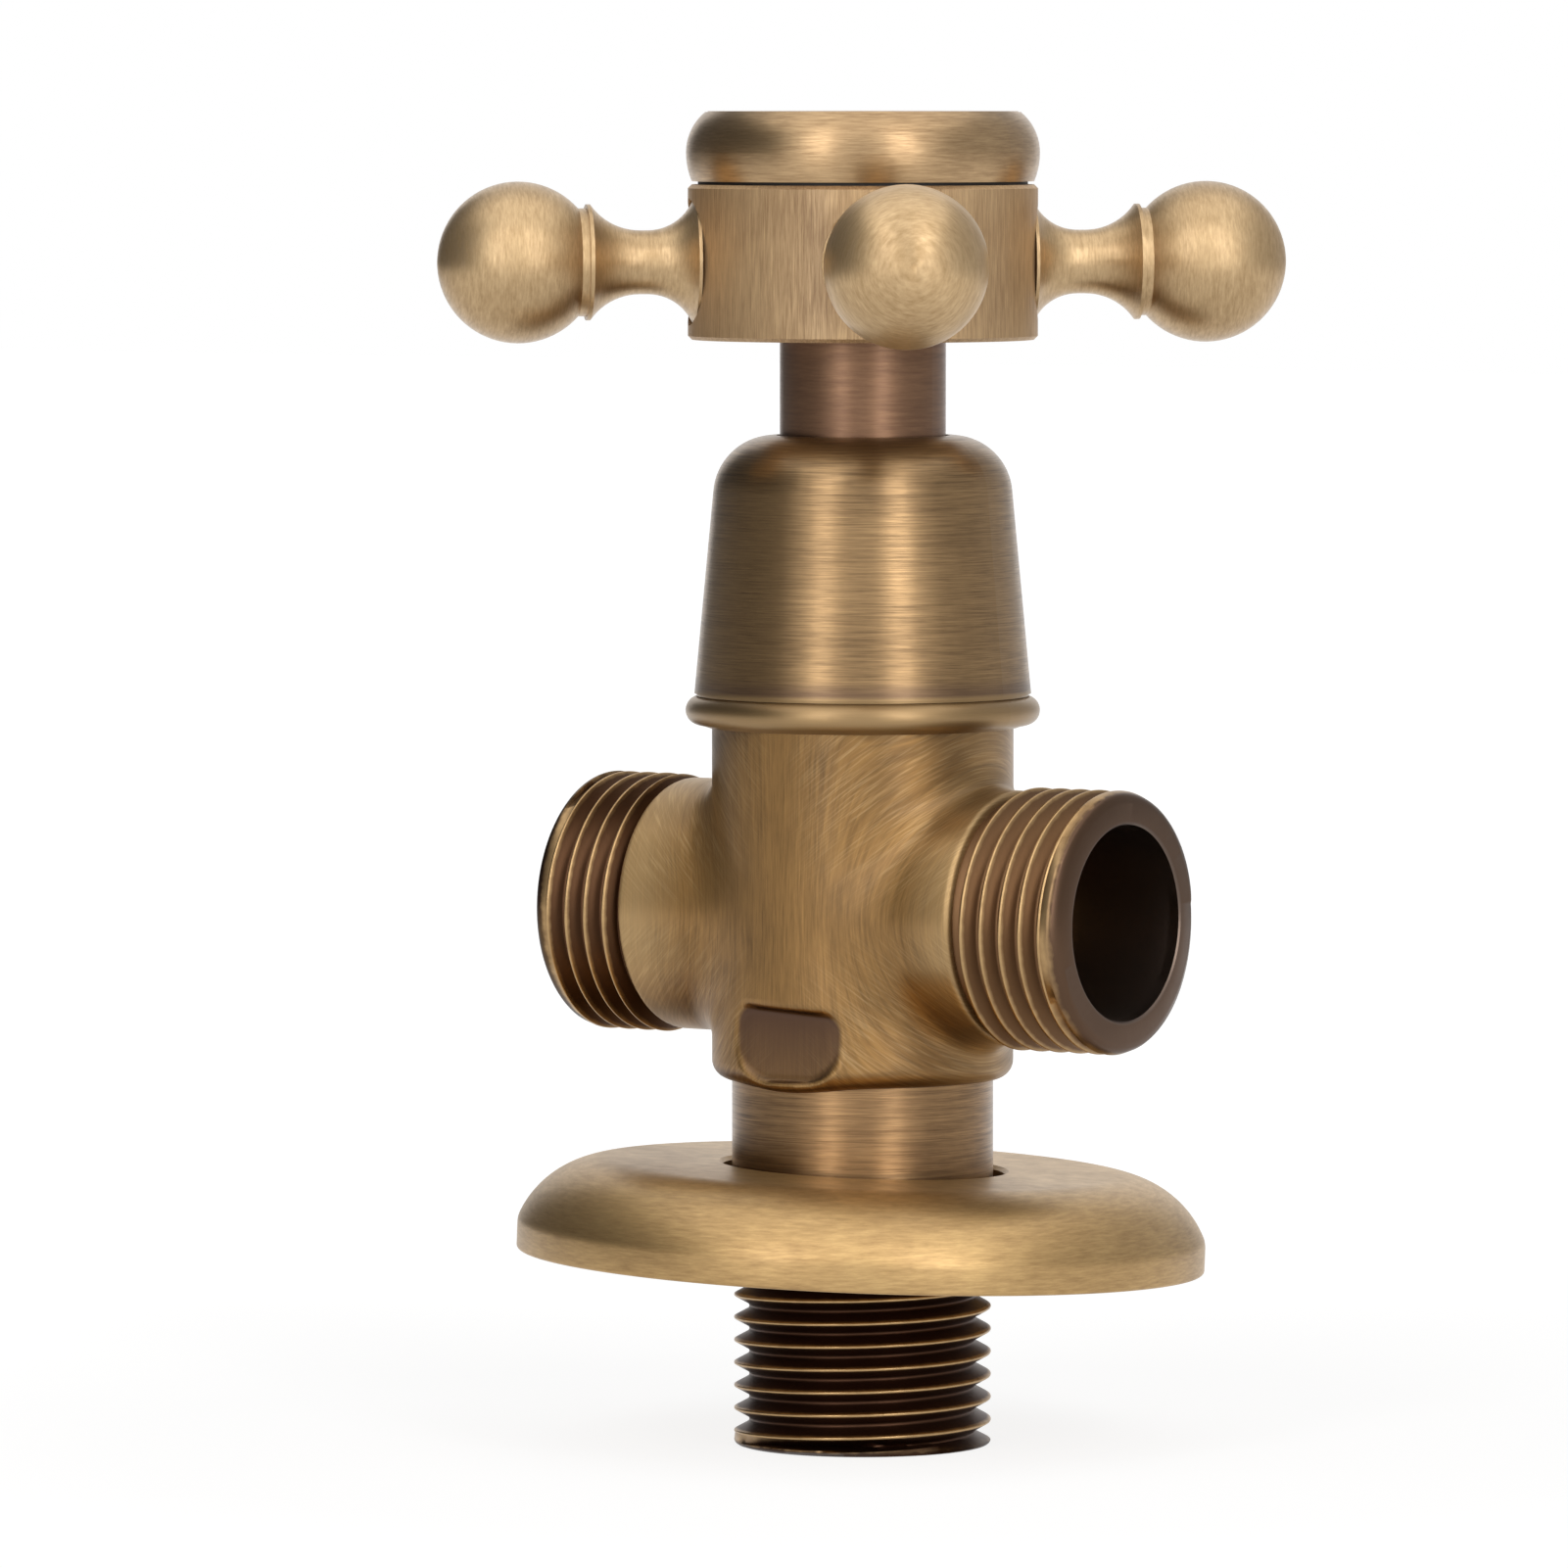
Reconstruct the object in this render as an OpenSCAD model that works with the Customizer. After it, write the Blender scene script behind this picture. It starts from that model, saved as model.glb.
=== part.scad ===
// Two outlet angle valve with a cross handle, in antique brushed brass.
// The inlet stands on its threaded end, the outlets leave along X, and the spindle is on Z.
// The origin is the centre of the inlet's end face. All lengths are in millimetres.

/* [Inlet] */
// Outside diameter of the inlet thread
inlet_thread_d = 20.5; // [20:0.1:21]
// Length of the inlet thread
inlet_thread_len = 15.6; // [12:0.2:24]
// Bore of the inlet passage
inlet_bore_d = 14; // [12:0.5:14.5]
// How far the smooth neck stands outside the thread, on the radius
neck_step = 0.16; // [0.06:0.02:0.4]
// Length of the smooth neck that the wall plate slides on
neck_len = 13.2; // [12:0.2:20]

/* [Body] */
// Diameter of the upright barrel
body_d = 24; // [23.6:0.1:27]
// Length of barrel in view, from its lower edge to the bonnet
body_len = 28.5; // [27.5:0.5:33]
// Height of the outlet axis above the barrel's lower edge
outlet_rise = 13.8; // [12.6:0.2:15]
// Distance from one outlet end to the other
outlet_span = 50; // [48:0.2:60]
// Outside diameter of the outlet threads
outlet_thread_d = 20.8; // [20:0.1:21]
// Length of the right outlet's thread
outlet_thread_len = 10.2; // [8.2:0.2:11]
// How much shorter the left outlet's thread is
left_thread_less = 1.8; // [0:0.2:3]
// Bore of each outlet
outlet_bore_d = 14.8; // [13:0.2:15.4]
// How far an outlet's root flares out by the spindle's axis, on the radius
outlet_flare = 1.8; // [1.2:0.1:2]
// Width of the wrench pocket
pocket_w = 10.2; // [8:0.2:12]
// Height of the wrench pocket
pocket_h = 5.7; // [4.5:0.1:7]
// Depth of the wrench pocket at the middle
pocket_depth = 1.05; // [0.6:0.05:1.5]

/* [Bonnet] */
// Height of the bell shaped bonnet
bonnet_h = 23.2; // [21:0.2:30]
// Length of barrel that the bonnet covers
bonnet_lap = 5.7; // [5:0.1:7]
// Wall of the bonnet outside the barrel
bonnet_skirt_t = 1.4; // [1.2:0.05:2]
// Radius lost from the bonnet's rim to its shoulder
bonnet_taper = 1.5; // [0.8:0.1:1.8]
// Radius of the bonnet's rounded shoulder
bonnet_crown = 4.8; // [3:0.1:5]
// Wall of the bonnet's upper part
bonnet_wall = 1.3; // [1:0.05:1.6]
// Radius of the bead round the bonnet's rim
bonnet_bead = 1.15; // [0.9:0.05:1.2]

/* [Headpart] */
// Wall of the barrel outside the headpart's thread
head_wall = 1.5; // [1.4:0.05:2]
// Length of the headpart's thread
head_thread_len = 9; // [7:0.5:9.5]
// How far the hexagon's corners lie inside the headpart's flange
hex_inset = 1.485; // [1:0.005:1.8]
// Height of the hexagon
hex_h = 5.5; // [4:0.1:6]
// Diameter of the two ceramic discs
disc_d = 15.1; // [14.6:0.1:15.3]
// Thickness of each ceramic disc
disc_t = 2.5; // [2:0.1:3]
// Half the angle that each disc port covers, in degrees
port_half = 38; // [30:1:42]
// Diameter of the spindle where it turns in the headpart
spindle_d = 9; // [8.6:0.1:9.4]
// How far the spline's teeth end inside the spindle's radius
spline_step = 0.5; // [0.4:0.05:0.7]
// Number of teeth on the spline
spline_teeth = 20; // [16:1:24]
// Quarter turn between the stops, in degrees
handle_travel = 90; // [80:1:100]

/* [Handle] */
// Length of the sleeve in view, between the bonnet and the hub
handle_lift = 7.6; // [6:0.2:14]
// Diameter of the sleeve under the hub
skirt_d = 13.2; // [13:0.1:13.8]
// Diameter of the hub
hub_d = 27.8; // [27.4:0.1:30]
// Height of the hub
hub_h = 12.3; // [12:0.1:15]
// Distance from the spindle's axis to the middle of a ball
arm_reach = 27.5; // [26.5:0.5:36]
// Diameter of a ball
ball_d = 12.8; // [11.5:0.1:13.5]
// Diameter of an arm at its waist
waist_d = 5.06; // [4.4:0.02:5.6]
// Diameter of an arm's foot on the hub
arm_foot_d = 9.8; // [9:0.1:10.4]
// Diameter of the sharp ring behind a ball
arm_ring_d = 9.2; // [8.8:0.1:9.6]
// Turn of the first arm away from the right outlet, in degrees
arm_turn = 41; // [0:1:89]

/* [Cap] */
// How far the cap stands outside the hub at its fullest, on the radius
cap_proud = 0.15; // [0:0.05:0.5]
// Height of the cap above its seal
cap_h = 5.55; // [5:0.05:7]
// Wall of the hub round the cap's thread
cap_thread_wall = 3.15; // [2.9:0.05:3.8]

/* [Wall plate] */
// Diameter of the wall plate
plate_d = 54.9; // [50:0.1:70]
// Height of the wall plate
plate_h = 7.5; // [7:0.1:9]
// Radius of the plate's rounded shoulder
plate_round = 8; // [7.8:0.1:9]
// Width of the rounded shoulder, seen from above
plate_shoulder = 7.45; // [6.5:0.05:7.6]
// Wall of the plate
plate_wall = 1.4; // [1:0.1:1.8]
// Distance from the plate's top up to the barrel
plate_drop = 6.55; // [4:0.05:8]
// Gap between the plate's hole and the neck
plate_gap = 0.85; // [0.7:0.05:1.1]
// Thickness of the rubber ring that grips the neck
grip_t = 1.7; // [1.5:0.05:1.9]

/* [Hidden] */
$fn = 96;

// Overrun of every cut past the face that it opens
over = 1;
// Clearance of a threaded pair, on the radius
thread_gap = 0.05;
// Clearance of a turning or sliding pair, on the radius
run_gap = 0.05;
// Clearance of a pressed or keyed pair, on the radius
press_gap = 0.02;
// Clearance of two faces that turn on each other
face_gap = 0.04;

// Radii of the inlet, its bore, neck, barrel and outlets
inlet_r = inlet_thread_d / 2;
inlet_bore_r = inlet_bore_d / 2;
neck_r = inlet_r + neck_step;
body_r = body_d / 2;
outlet_r = outlet_thread_d / 2;
// Depth of the thread under its crests, which is also the size of a thread's end chamfer
thread_chamfer = 1;
// Pitch of the pipe threads, 14 to the inch, their crests' width and the slope of their flanks
thread_pitch = 25.4 / 14;
crest_w = 0.35;
thread_flank = 27.5;
// Width of the crest at an outlet's end, which is wider than the others
outlet_crest_w = 0.9;
// How far the outlets' smooth roots lie under the thread crests
outlet_root_step = 0.3;
// Rounding of the barrel's lower edge
body_edge = 1.5;
// How far the body's bonnet thread lies inside the barrel
bonnet_thread_step = 0.05;
// Distance of the pocket above the barrel's lower edge, and its corner rounding
pocket_lift = 0.9;
pocket_corner = 1.6;
// How far the pockets are turned from square to the outlets
pocket_turn = 2;

// Heights from the inlet's end face
shoulder_z = inlet_thread_len + neck_len;
outlet_z = shoulder_z + outlet_rise;
bonnet_z = shoulder_z + body_len;
body_top_z = bonnet_z + bonnet_lap;
bonnet_top_z = bonnet_z + bonnet_h;
hub_z = bonnet_top_z + handle_lift;
hub_top_z = hub_z + hub_h;

// The seat in the body: how far it lies under the outlet axis, the web under it and its hole
seat_drop = 3.1;
seat_web = 3;
seat_hole_d = 10.4;
seat_z = outlet_z - seat_drop;
// Headpart: seal, discs, foot of the spindle and windows, upwards from the seat
seal_t = 2;
seal_lip = 0.5;
seal_gap = 0.25;
head_foot_gap = 0.8;
disc_gap = 0.1;
disc_r = disc_d / 2;
head_bore_r = disc_r + disc_gap;
barrel_wall = 0.95;
barrel_r = head_bore_r + barrel_wall;
// The chamber round the headpart, and how far inside its wall the outlet bores start
chamber_gap = 1.2;
chamber_r = barrel_r + chamber_gap;
outlet_bite = 1.2;
outlet_bore_x = chamber_r - outlet_bite;
fixed_z = seat_z + seal_t;
moving_z = fixed_z + disc_t + face_gap;
foot_z = moving_z + disc_t + face_gap;
foot_t = 2.6;
foot_w = 6.4;
foot_gap = 0.15;
window_h = 4.5;
window_w = 11.2;
window_rise = 0.2;
window_z = foot_z + window_rise;
collar_t = 1.6;
collar_rise = 0.3;
collar_r = 6.2;
collar_z = window_z + window_h + collar_rise;
thrust_t = 0.55;
thrust_z = collar_z + collar_t + face_gap;
head_shoulder_z = thrust_z + thrust_t + face_gap;
key_w = 3;
key_depth = 0.8;
port_in_r = 1.6;
port_rim = 1.35;
port_out_r = disc_r - port_rim;
drive_reach = 4.6;
drive_w = 2.2;
drive_l = 3;
drive_depth = 1.2;
drive_gap = 0.1;

// Headpart: thread, flange, hexagon, nose and stop
head_thread_r = body_r - head_wall;
head_thread_spare = 0.5;
gasket_t = 0.5;
flange_h = 2;
flange_inset = 0.7;
flange_z = body_top_z + gasket_t;
flange_r = body_r - flange_inset;
hex_z = flange_z + flange_h;
hex_corner_r = flange_r - hex_inset;
nose_drop = 5;
nose_z = bonnet_top_z - nose_drop;
nose_r = 7.4;
stop_wall_h = 1.3;
stop_wall_t = 1.2;
stop_ring_t = 1.2;
stop_lug = 40;
stop_slack = 1;
skirt_gap = 0.3;
clip_t = 0.5;
clip_r = 5.2;
clip_mouth = 5;
clip_groove_depth = 0.9;
spindle_r = spindle_d / 2;
spline_r = spindle_r - spline_step;
spline_depth = 0.38;
spline_tooth_shares = [-0.32, -0.12, 0.12, 0.32];
spline_tip_share = 0.2;
spindle_top_drop = 0.2;
stop_z = nose_z + face_gap;
clip_z = stop_z + stop_ring_t + face_gap;
clip_groove_r = spline_r - clip_groove_depth;

// Bonnet: rim, bead, groove over the bead, ledge on the barrel's end, hole for the handle's sleeve
bonnet_rim_r = body_r + bonnet_skirt_t;
bonnet_bead_proud = 0.7;
bonnet_lip_h = 0.2;
bonnet_groove = 0.2;
bonnet_ledge = 0.35;
bonnet_mouth = 0.3;
crown_c = [bonnet_rim_r - bonnet_taper - bonnet_crown, bonnet_top_z - bonnet_crown];
bonnet_hole_r = skirt_d / 2 + skirt_gap;

// O-rings on the spindle
o_ring_t = 1.3;
o_groove_w = 1.8;
o_rise = 3.8;
o_pitch = 4.6;

// Handle: sleeve, hub, screw and the studs of the arms
skirt_r = skirt_d / 2;
skirt_edge = 0.4;
skirt_z = clip_z + clip_t + skirt_gap;
spigot_step = 1;
spigot_r = skirt_r - spigot_step;
hub_floor = 3.4;
hub_r = hub_d / 2;
hub_edge = 0.3;
hub_cavity_r = 6.9;
socket_roof = 4;
seat_top_z = hub_z + hub_floor;
socket_top_z = seat_top_z - socket_roof;
washer_t = 0.6;
washer_r = 4.6;
screw_r = 1.95;
screw_hole_gap = 0.2;
screw_len = 12;
screw_edge = 0.6;
screw_tap_spare = 2;
screw_head_r = 3.5;
screw_head_h = 2.4;
screw_slot_w = 0.9;
screw_slot_l = 4.4;
screw_slot_h = 1.3;
screw_head_z = seat_top_z + washer_t;
spindle_top_z = socket_top_z - spindle_top_drop;
arm_z = hub_z + hub_h / 2;
spot_depth = 0.6;
spot_gap = 0.14;
foot_plane = hub_r - spot_depth;
foot_rim_t = 0.25;
stud_r = 2;
stud_len = 5;
stud_end_gap = 0.3;
arm_foot_r = arm_foot_d / 2;
waist_r = waist_d / 2;
ball_r = ball_d / 2;
arm_ring_r = arm_ring_d / 2;
arm_ring_t = 0.3;
flare_in_len = 3.65;
flare_out_len = 4;
ring_back_share = 0.844;
arm_groove_depth = 0.32;

// Cap and its seal
cap_r = hub_r + cap_proud;
cap_seal_t = 0.25;
cap_seal_inset = 0.95;
cap_thread_r = hub_r - cap_thread_wall;
cap_thread_len = 3;
cap_thread_free = 0.15;
cap_boss_wall = 2.2;
cap_roof = 2.6;
cap_bottom_inset = 0.45;
cap_top_inset = 1.6;
cap_belly_share = 0.41;
cap_edge = 0.15;
cap_z = hub_top_z + cap_seal_t;
cap_top_z = cap_z + cap_h;

// Wall plate and its rubber ring
plate_r = plate_d / 2;
plate_top_z = shoulder_z - plate_drop;
plate_z = plate_top_z - plate_h;
plate_hole_r = neck_r + plate_gap;
plate_hole_edge = 0.3;
plate_flat_r = plate_r - plate_shoulder;
grip_gap = 0.08;
grip_slack = 0.1;
grip_drop = 2.9;
grip_r = neck_r + grip_gap + grip_t / 2;
grip_z = plate_top_z - grip_drop;
grip_groove_r = grip_r + grip_t / 2 + run_gap;
collar_wall = 0.9;
collar_lip = 1.1;

// Radius of the arc with this run and this rise that starts square to its radius
function arc_r(run, rise) = (run * run + rise * rise) / (2 * rise);

// Where the line that rises from point p touches the outer side of the circle at c of radius r
function touch(p, c, r) =
    let (d = p - c, a = atan2(d[1], d[0]) + acos(r / norm(d)))
    c + r * [cos(a), sin(a)];

// Outline of an outside thread of crest radius r, from its chamfered free end to its run-out groove
function thread_points(r, length, end_crest_w) =
    let (root_r = r - thread_chamfer, side = thread_chamfer * tan(thread_flank),
         first = thread_chamfer + end_crest_w,
         turns = floor((length - first - side) / thread_pitch))
    [
        [root_r, 0],
        [r, thread_chamfer],
        for (k = [0:turns])
            let (z = first + k * thread_pitch)
            each [
                if (k > 0) [r, z - crest_w],
                [r, z],
                [root_r, z + side],
                [root_r, k < turns ? z + thread_pitch - crest_w - side : length]
            ]
    ];

// Outline of a spline whose teeth end at radius r
function spline_points(r) = [
    for (i = [0:spline_teeth - 1], share = spline_tooth_shares)
        let (a = 360 / spline_teeth * (i + share),
             reach = abs(share) < spline_tip_share ? r : r - spline_depth)
        reach * [cos(a), sin(a)]
];

// A flat wedge from the axis, between two angles less than half a turn apart
module wedge(from, to, r) {
    polygon([[0, 0], r * [cos(from), sin(from)], 2 * r * [cos((from + to) / 2), sin((from + to) / 2)],
             r * [cos(to), sin(to)]]);
}

// A flat ring between two radii
module washer_2d(r_out, r_in) {
    difference() {
        circle(r_out);
        circle(r_in);
    }
}

// The two sector shaped ports of a ceramic disc, centred on the angle given
module ports_2d(angle) {
    for (side = [0, 180])
        intersection() {
            washer_2d(port_out_r, port_in_r);
            wedge(angle + side - port_half, angle + side + port_half, disc_r);
        }
}

module valve_body() color([0.63, 0.5, 0.31]) {
    difference() {
        union() {
            rotate_extrude() body_profile();
            for (side = [0, 180])
                rotate([0, 0, side]) translate([0, 0, outlet_z]) rotate([0, 90, 0])
                    rotate_extrude() outlet_profile(outlet_thread_len - side / 180 * left_thread_less);
        }
        rotate_extrude() waterway_profile();
        for (side = [0, 180])
            rotate([0, 0, side]) translate([outlet_bore_x, 0, outlet_z]) rotate([0, 90, 0])
                cylinder(r = outlet_bore_d / 2, h = outlet_span);
        for (side = [0, 180])
            rotate([0, 0, side + pocket_turn]) wrench_pocket();
    }
}

// Outside of the inlet, neck and barrel
module body_profile() {
    edge_c = [body_r - body_edge, shoulder_z + body_edge];
    top_r = body_r - bonnet_thread_step;
    polygon([
        [0, 0],
        each thread_points(inlet_r, inlet_thread_len, crest_w),
        [neck_r, inlet_thread_len],
        [neck_r, shoulder_z],
        [edge_c[0], shoulder_z],
        edge_c,
        [body_r, edge_c[1]],
        [body_r, bonnet_z],
        [top_r, bonnet_z],
        [top_r, body_top_z],
        [0, body_top_z]
    ]);
    intersection() {
        translate(edge_c) circle(body_edge);
        translate([edge_c[0], shoulder_z]) square(body_edge);
    }
}

// Outside of one outlet, from the spindle's axis out to its end face
module outlet_profile(thread_len) {
    root_r = outlet_r - outlet_root_step;
    end = outlet_span / 2;
    start = end - thread_len;
    foot_r = root_r + outlet_flare;
    bow = arc_r(start, outlet_flare);
    thread = thread_points(outlet_r, thread_len, outlet_crest_w);
    difference() {
        polygon([
            [0, 0],
            [foot_r, 0],
            [foot_r, start],
            for (i = [len(thread) - 1:-1:0]) [thread[i][0], end - thread[i][1]],
            [0, end]
        ]);
        intersection() {
            translate([root_r + bow, start]) circle(bow);
            translate([root_r, 0]) square([foot_r, start]);
        }
    }
}

// Everything that is hollow on the spindle's axis: inlet, seat, chamber and headpart thread
module waterway_profile() {
    thread_z = flange_z - head_thread_len - head_thread_spare;
    bore_r = head_thread_r + thread_gap;
    polygon([
        [0, -over],
        [inlet_bore_r, -over],
        [inlet_bore_r, seat_z - seat_web],
        [seat_hole_d / 2, seat_z - seat_web],
        [seat_hole_d / 2, seat_z],
        [chamber_r, seat_z],
        [chamber_r, thread_z],
        [bore_r, thread_z],
        [bore_r, body_top_z + over],
        [0, body_top_z + over]
    ]);
}

// Milled flat on the side of the barrel, away from the outlets
module wrench_pocket() {
    flat = body_r - pocket_depth;
    translate([0, -flat, shoulder_z + pocket_lift + pocket_h / 2]) rotate([90, 0, 0])
        linear_extrude(body_r) {
            square([pocket_w - 2 * pocket_corner, pocket_h], center = true);
            square([pocket_w, pocket_h - 2 * pocket_corner], center = true);
            for (x = [-1, 1], y = [-1, 1])
                translate([x * (pocket_w / 2 - pocket_corner), y * (pocket_h / 2 - pocket_corner)])
                    circle(pocket_corner);
        }
}

module seat_seal() color([0.12, 0.12, 0.12]) {
    out_r = head_bore_r - seal_gap;
    translate([0, 0, seat_z])
        rotate_extrude() polygon([
            [seat_hole_d / 2, 0],
            [out_r - seal_lip, 0],
            [out_r, seal_lip],
            [out_r, seal_t],
            [seat_hole_d / 2, seal_t]
        ]);
}

module fixed_disc() color([0.93, 0.93, 0.9]) {
    key_r = barrel_r - (barrel_wall - key_depth);
    translate([0, 0, fixed_z]) linear_extrude(disc_t) difference() {
        union() {
            circle(disc_r);
            intersection() {
                circle(key_r);
                square([key_w, 2 * key_r], center = true);
            }
        }
        ports_2d(0);
    }
}

module moving_disc() color([0.93, 0.93, 0.9]) {
    translate([0, 0, moving_z]) difference() {
        linear_extrude(disc_t) difference() {
            circle(disc_r);
            ports_2d(90);
        }
        for (x = [-1, 1])
            translate([x * drive_reach, 0, disc_t - drive_depth])
                linear_extrude(drive_depth + over)
                    square([drive_w + 2 * drive_gap, drive_l + 2 * drive_gap], center = true);
    }
}

// Brass headpart: barrel with windows, thread, flange, hexagon, nose and stop wall
module headpart_housing() color([0.78, 0.66, 0.38]) {
    difference() {
        union() {
            rotate_extrude() housing_profile();
            translate([0, 0, hex_z]) cylinder(r = hex_corner_r, h = hex_h, $fn = 6);
            translate([0, 0, nose_z]) linear_extrude(stop_wall_h) stop_wall_2d();
        }
        translate([0, 0, seat_z]) cylinder(r = head_bore_r, h = head_shoulder_z - seat_z);
        translate([0, 0, seat_z]) cylinder(r = spindle_r + run_gap, h = nose_z + over - seat_z);
        translate([0, 0, window_z + window_h / 2])
            cube([2 * body_d, window_w, window_h], center = true);
        translate([0, 0, seat_z]) linear_extrude(moving_z - seat_z)
            square([key_w + 2 * run_gap, 2 * body_d], center = true);
    }
}

// Outside of the headpart, all that is turned
module housing_profile() {
    thread_z = flange_z - head_thread_len;
    foot = seat_z + head_foot_gap;
    polygon([
        [0, foot],
        [barrel_r, foot],
        [barrel_r, thread_z],
        [head_thread_r - thread_chamfer, thread_z],
        [head_thread_r, thread_z + thread_chamfer],
        [head_thread_r, flange_z],
        [flange_r, flange_z],
        [flange_r, hex_z],
        [nose_r, hex_z],
        [nose_r, nose_z],
        [0, nose_z]
    ]);
}

// The wall on the nose that the stop ring's lug runs between
module stop_wall_2d() {
    from = -stop_lug / 2 - stop_slack;
    to = handle_travel + stop_lug / 2 + stop_slack;
    difference() {
        washer_2d(nose_r, nose_r - stop_wall_t);
        wedge(from, to, 2 * nose_r);
    }
}

module headpart_gasket() color([0.45, 0.2, 0.14]) {
    translate([0, 0, body_top_z]) linear_extrude(gasket_t)
        washer_2d(flange_r, head_thread_r + thread_gap);
}

// Bell shaped bonnet, screwed on the top of the barrel
module bonnet() color([0.63, 0.5, 0.31]) {
    rotate_extrude() difference() {
        bonnet_outside();
        bonnet_inside();
    }
}

// Outside of the bonnet, with its bead and rounded shoulder
module bonnet_outside() {
    bead_c = [bonnet_rim_r + bonnet_bead_proud - bonnet_bead, bonnet_z + bonnet_lip_h + bonnet_bead];
    bead_top = bead_c[1] + bonnet_bead;
    rim = [bonnet_rim_r, bead_top + bonnet_groove];
    polygon([
        [0, bonnet_z],
        [body_r + bonnet_mouth + thread_gap, bonnet_z],
        [bead_c[0], bonnet_z + bonnet_lip_h],
        [bead_c[0], bead_top],
        [rim[0] - bonnet_groove, bead_top],
        [rim[0] - bonnet_groove, rim[1]],
        rim,
        touch(rim, crown_c, bonnet_crown),
        crown_c,
        [crown_c[0], bonnet_top_z],
        [0, bonnet_top_z]
    ]);
    translate(bead_c) circle(bonnet_bead);
    translate(crown_c) circle(bonnet_crown);
}

// Hollow of the bonnet, down to the ledge that rests on the barrel's end
module bonnet_inside() {
    bore_r = body_r + thread_gap;
    ledge = [body_r - bonnet_ledge - thread_gap, body_top_z];
    inner = bonnet_crown - bonnet_wall;
    roof = bonnet_top_z - bonnet_wall;
    polygon([
        [0, bonnet_z - over],
        [bore_r + bonnet_mouth + over, bonnet_z - over],
        [bore_r, bonnet_z + bonnet_mouth],
        [bore_r, body_top_z],
        ledge,
        touch(ledge, crown_c, inner),
        crown_c,
        [crown_c[0], roof],
        [bonnet_hole_r, roof],
        [bonnet_hole_r, bonnet_top_z + over],
        [0, bonnet_top_z + over]
    ]);
    translate(crown_c) circle(inner);
    translate([0, crown_c[1]]) square([bonnet_hole_r, bonnet_crown + over]);
}

module grip_ring() color([0.1, 0.1, 0.1]) {
    translate([0, 0, grip_z]) rotate_extrude() translate([grip_r, 0]) circle(d = grip_t);
}

// Pressed wall plate with a turned collar round its hole
module escutcheon() color([0.63, 0.5, 0.31]) {
    rotate_extrude() difference() {
        union() {
            difference() {
                plate_outline(0);
                plate_outline(plate_wall);
            }
            translate([plate_hole_r, grip_z - grip_t / 2 - collar_lip])
                square([grip_groove_r + collar_wall - plate_hole_r, plate_top_z - plate_wall / 2
                        - grip_z + grip_t / 2 + collar_lip]);
        }
        translate([0, plate_z - over]) square([plate_hole_r, plate_h + 2 * over]);
        translate([0, grip_z - grip_t / 2 - grip_slack])
            square([grip_groove_r, grip_t + 2 * grip_slack]);
        translate([0, plate_top_z]) polygon([
            [0, over],
            [plate_hole_r + plate_hole_edge + over, over],
            [plate_hole_r, -plate_hole_edge],
            [0, -plate_hole_edge]
        ]);
    }
}

// Half section of the plate's solid shape, or of its hollow when drawn in by a wall
module plate_outline(inset) {
    r = plate_r - inset;
    top = plate_top_z - inset;
    base = plate_z - (inset > 0 ? over : 0);
    centre_z = plate_top_z - plate_round;
    intersection() {
        translate([0, base]) square([r, top - base]);
        union() {
            translate([plate_flat_r, centre_z]) circle(plate_round - inset);
            translate([0, base]) square([plate_flat_r, top - base]);
            translate([0, base - over]) square([r, over + max(centre_z - base, 0)]);
        }
    }
}

// Spindle: driving foot, collar, two O-ring grooves, spline and screw hole
module spindle() color([0.72, 0.6, 0.36]) {
    difference() {
        union() {
            intersection() {
                translate([0, 0, foot_z]) cylinder(r = disc_r - foot_gap, h = foot_t);
                translate([0, 0, foot_z + foot_t / 2]) cube([disc_d, foot_w, foot_t], center = true);
            }
            for (x = [-1, 1])
                translate([x * drive_reach, 0, foot_z - drive_depth + face_gap])
                    linear_extrude(foot_t) square([drive_w, drive_l], center = true);
            rotate_extrude() spindle_profile();
            translate([0, 0, nose_z - over]) linear_extrude(spindle_top_z + over - nose_z)
                polygon(spline_points(spline_r));
        }
        translate([0, 0, screw_head_z - screw_len - screw_tap_spare])
            cylinder(r = screw_r + thread_gap, h = screw_len);
        translate([0, 0, clip_z - face_gap]) linear_extrude(clip_t + 2 * face_gap)
            washer_2d(spindle_d, clip_groove_r);
    }
}

// The turned part of the spindle, from its foot to its spline
module spindle_profile() {
    groove_r = spindle_r + run_gap - o_ring_t;
    low = head_shoulder_z + o_rise;
    high = low + o_pitch;
    polygon([
        [0, foot_z],
        [spline_r, foot_z],
        [spline_r, collar_z],
        [collar_r, collar_z],
        [collar_r, collar_z + collar_t],
        [spindle_r, collar_z + collar_t],
        [spindle_r, low],
        [groove_r, low],
        [groove_r, low + o_groove_w],
        [spindle_r, low + o_groove_w],
        [spindle_r, high],
        [groove_r, high],
        [groove_r, high + o_groove_w],
        [spindle_r, high + o_groove_w],
        [spindle_r, nose_z - skirt_gap],
        [0, nose_z - skirt_gap]
    ]);
}

module thrust_ring() color([0.85, 0.84, 0.8]) {
    translate([0, 0, thrust_z]) linear_extrude(thrust_t) washer_2d(collar_r, spindle_r + run_gap);
}

// One O-ring of the spindle, counted from the lower one
module spindle_o_ring(place) color([0.1, 0.1, 0.1]) {
    section = o_ring_t - 2 * press_gap;
    z = head_shoulder_z + o_rise + place * o_pitch + o_groove_w / 2;
    translate([0, 0, z]) rotate_extrude()
        translate([spindle_r + run_gap - o_ring_t / 2, 0]) circle(d = section);
}

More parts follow.
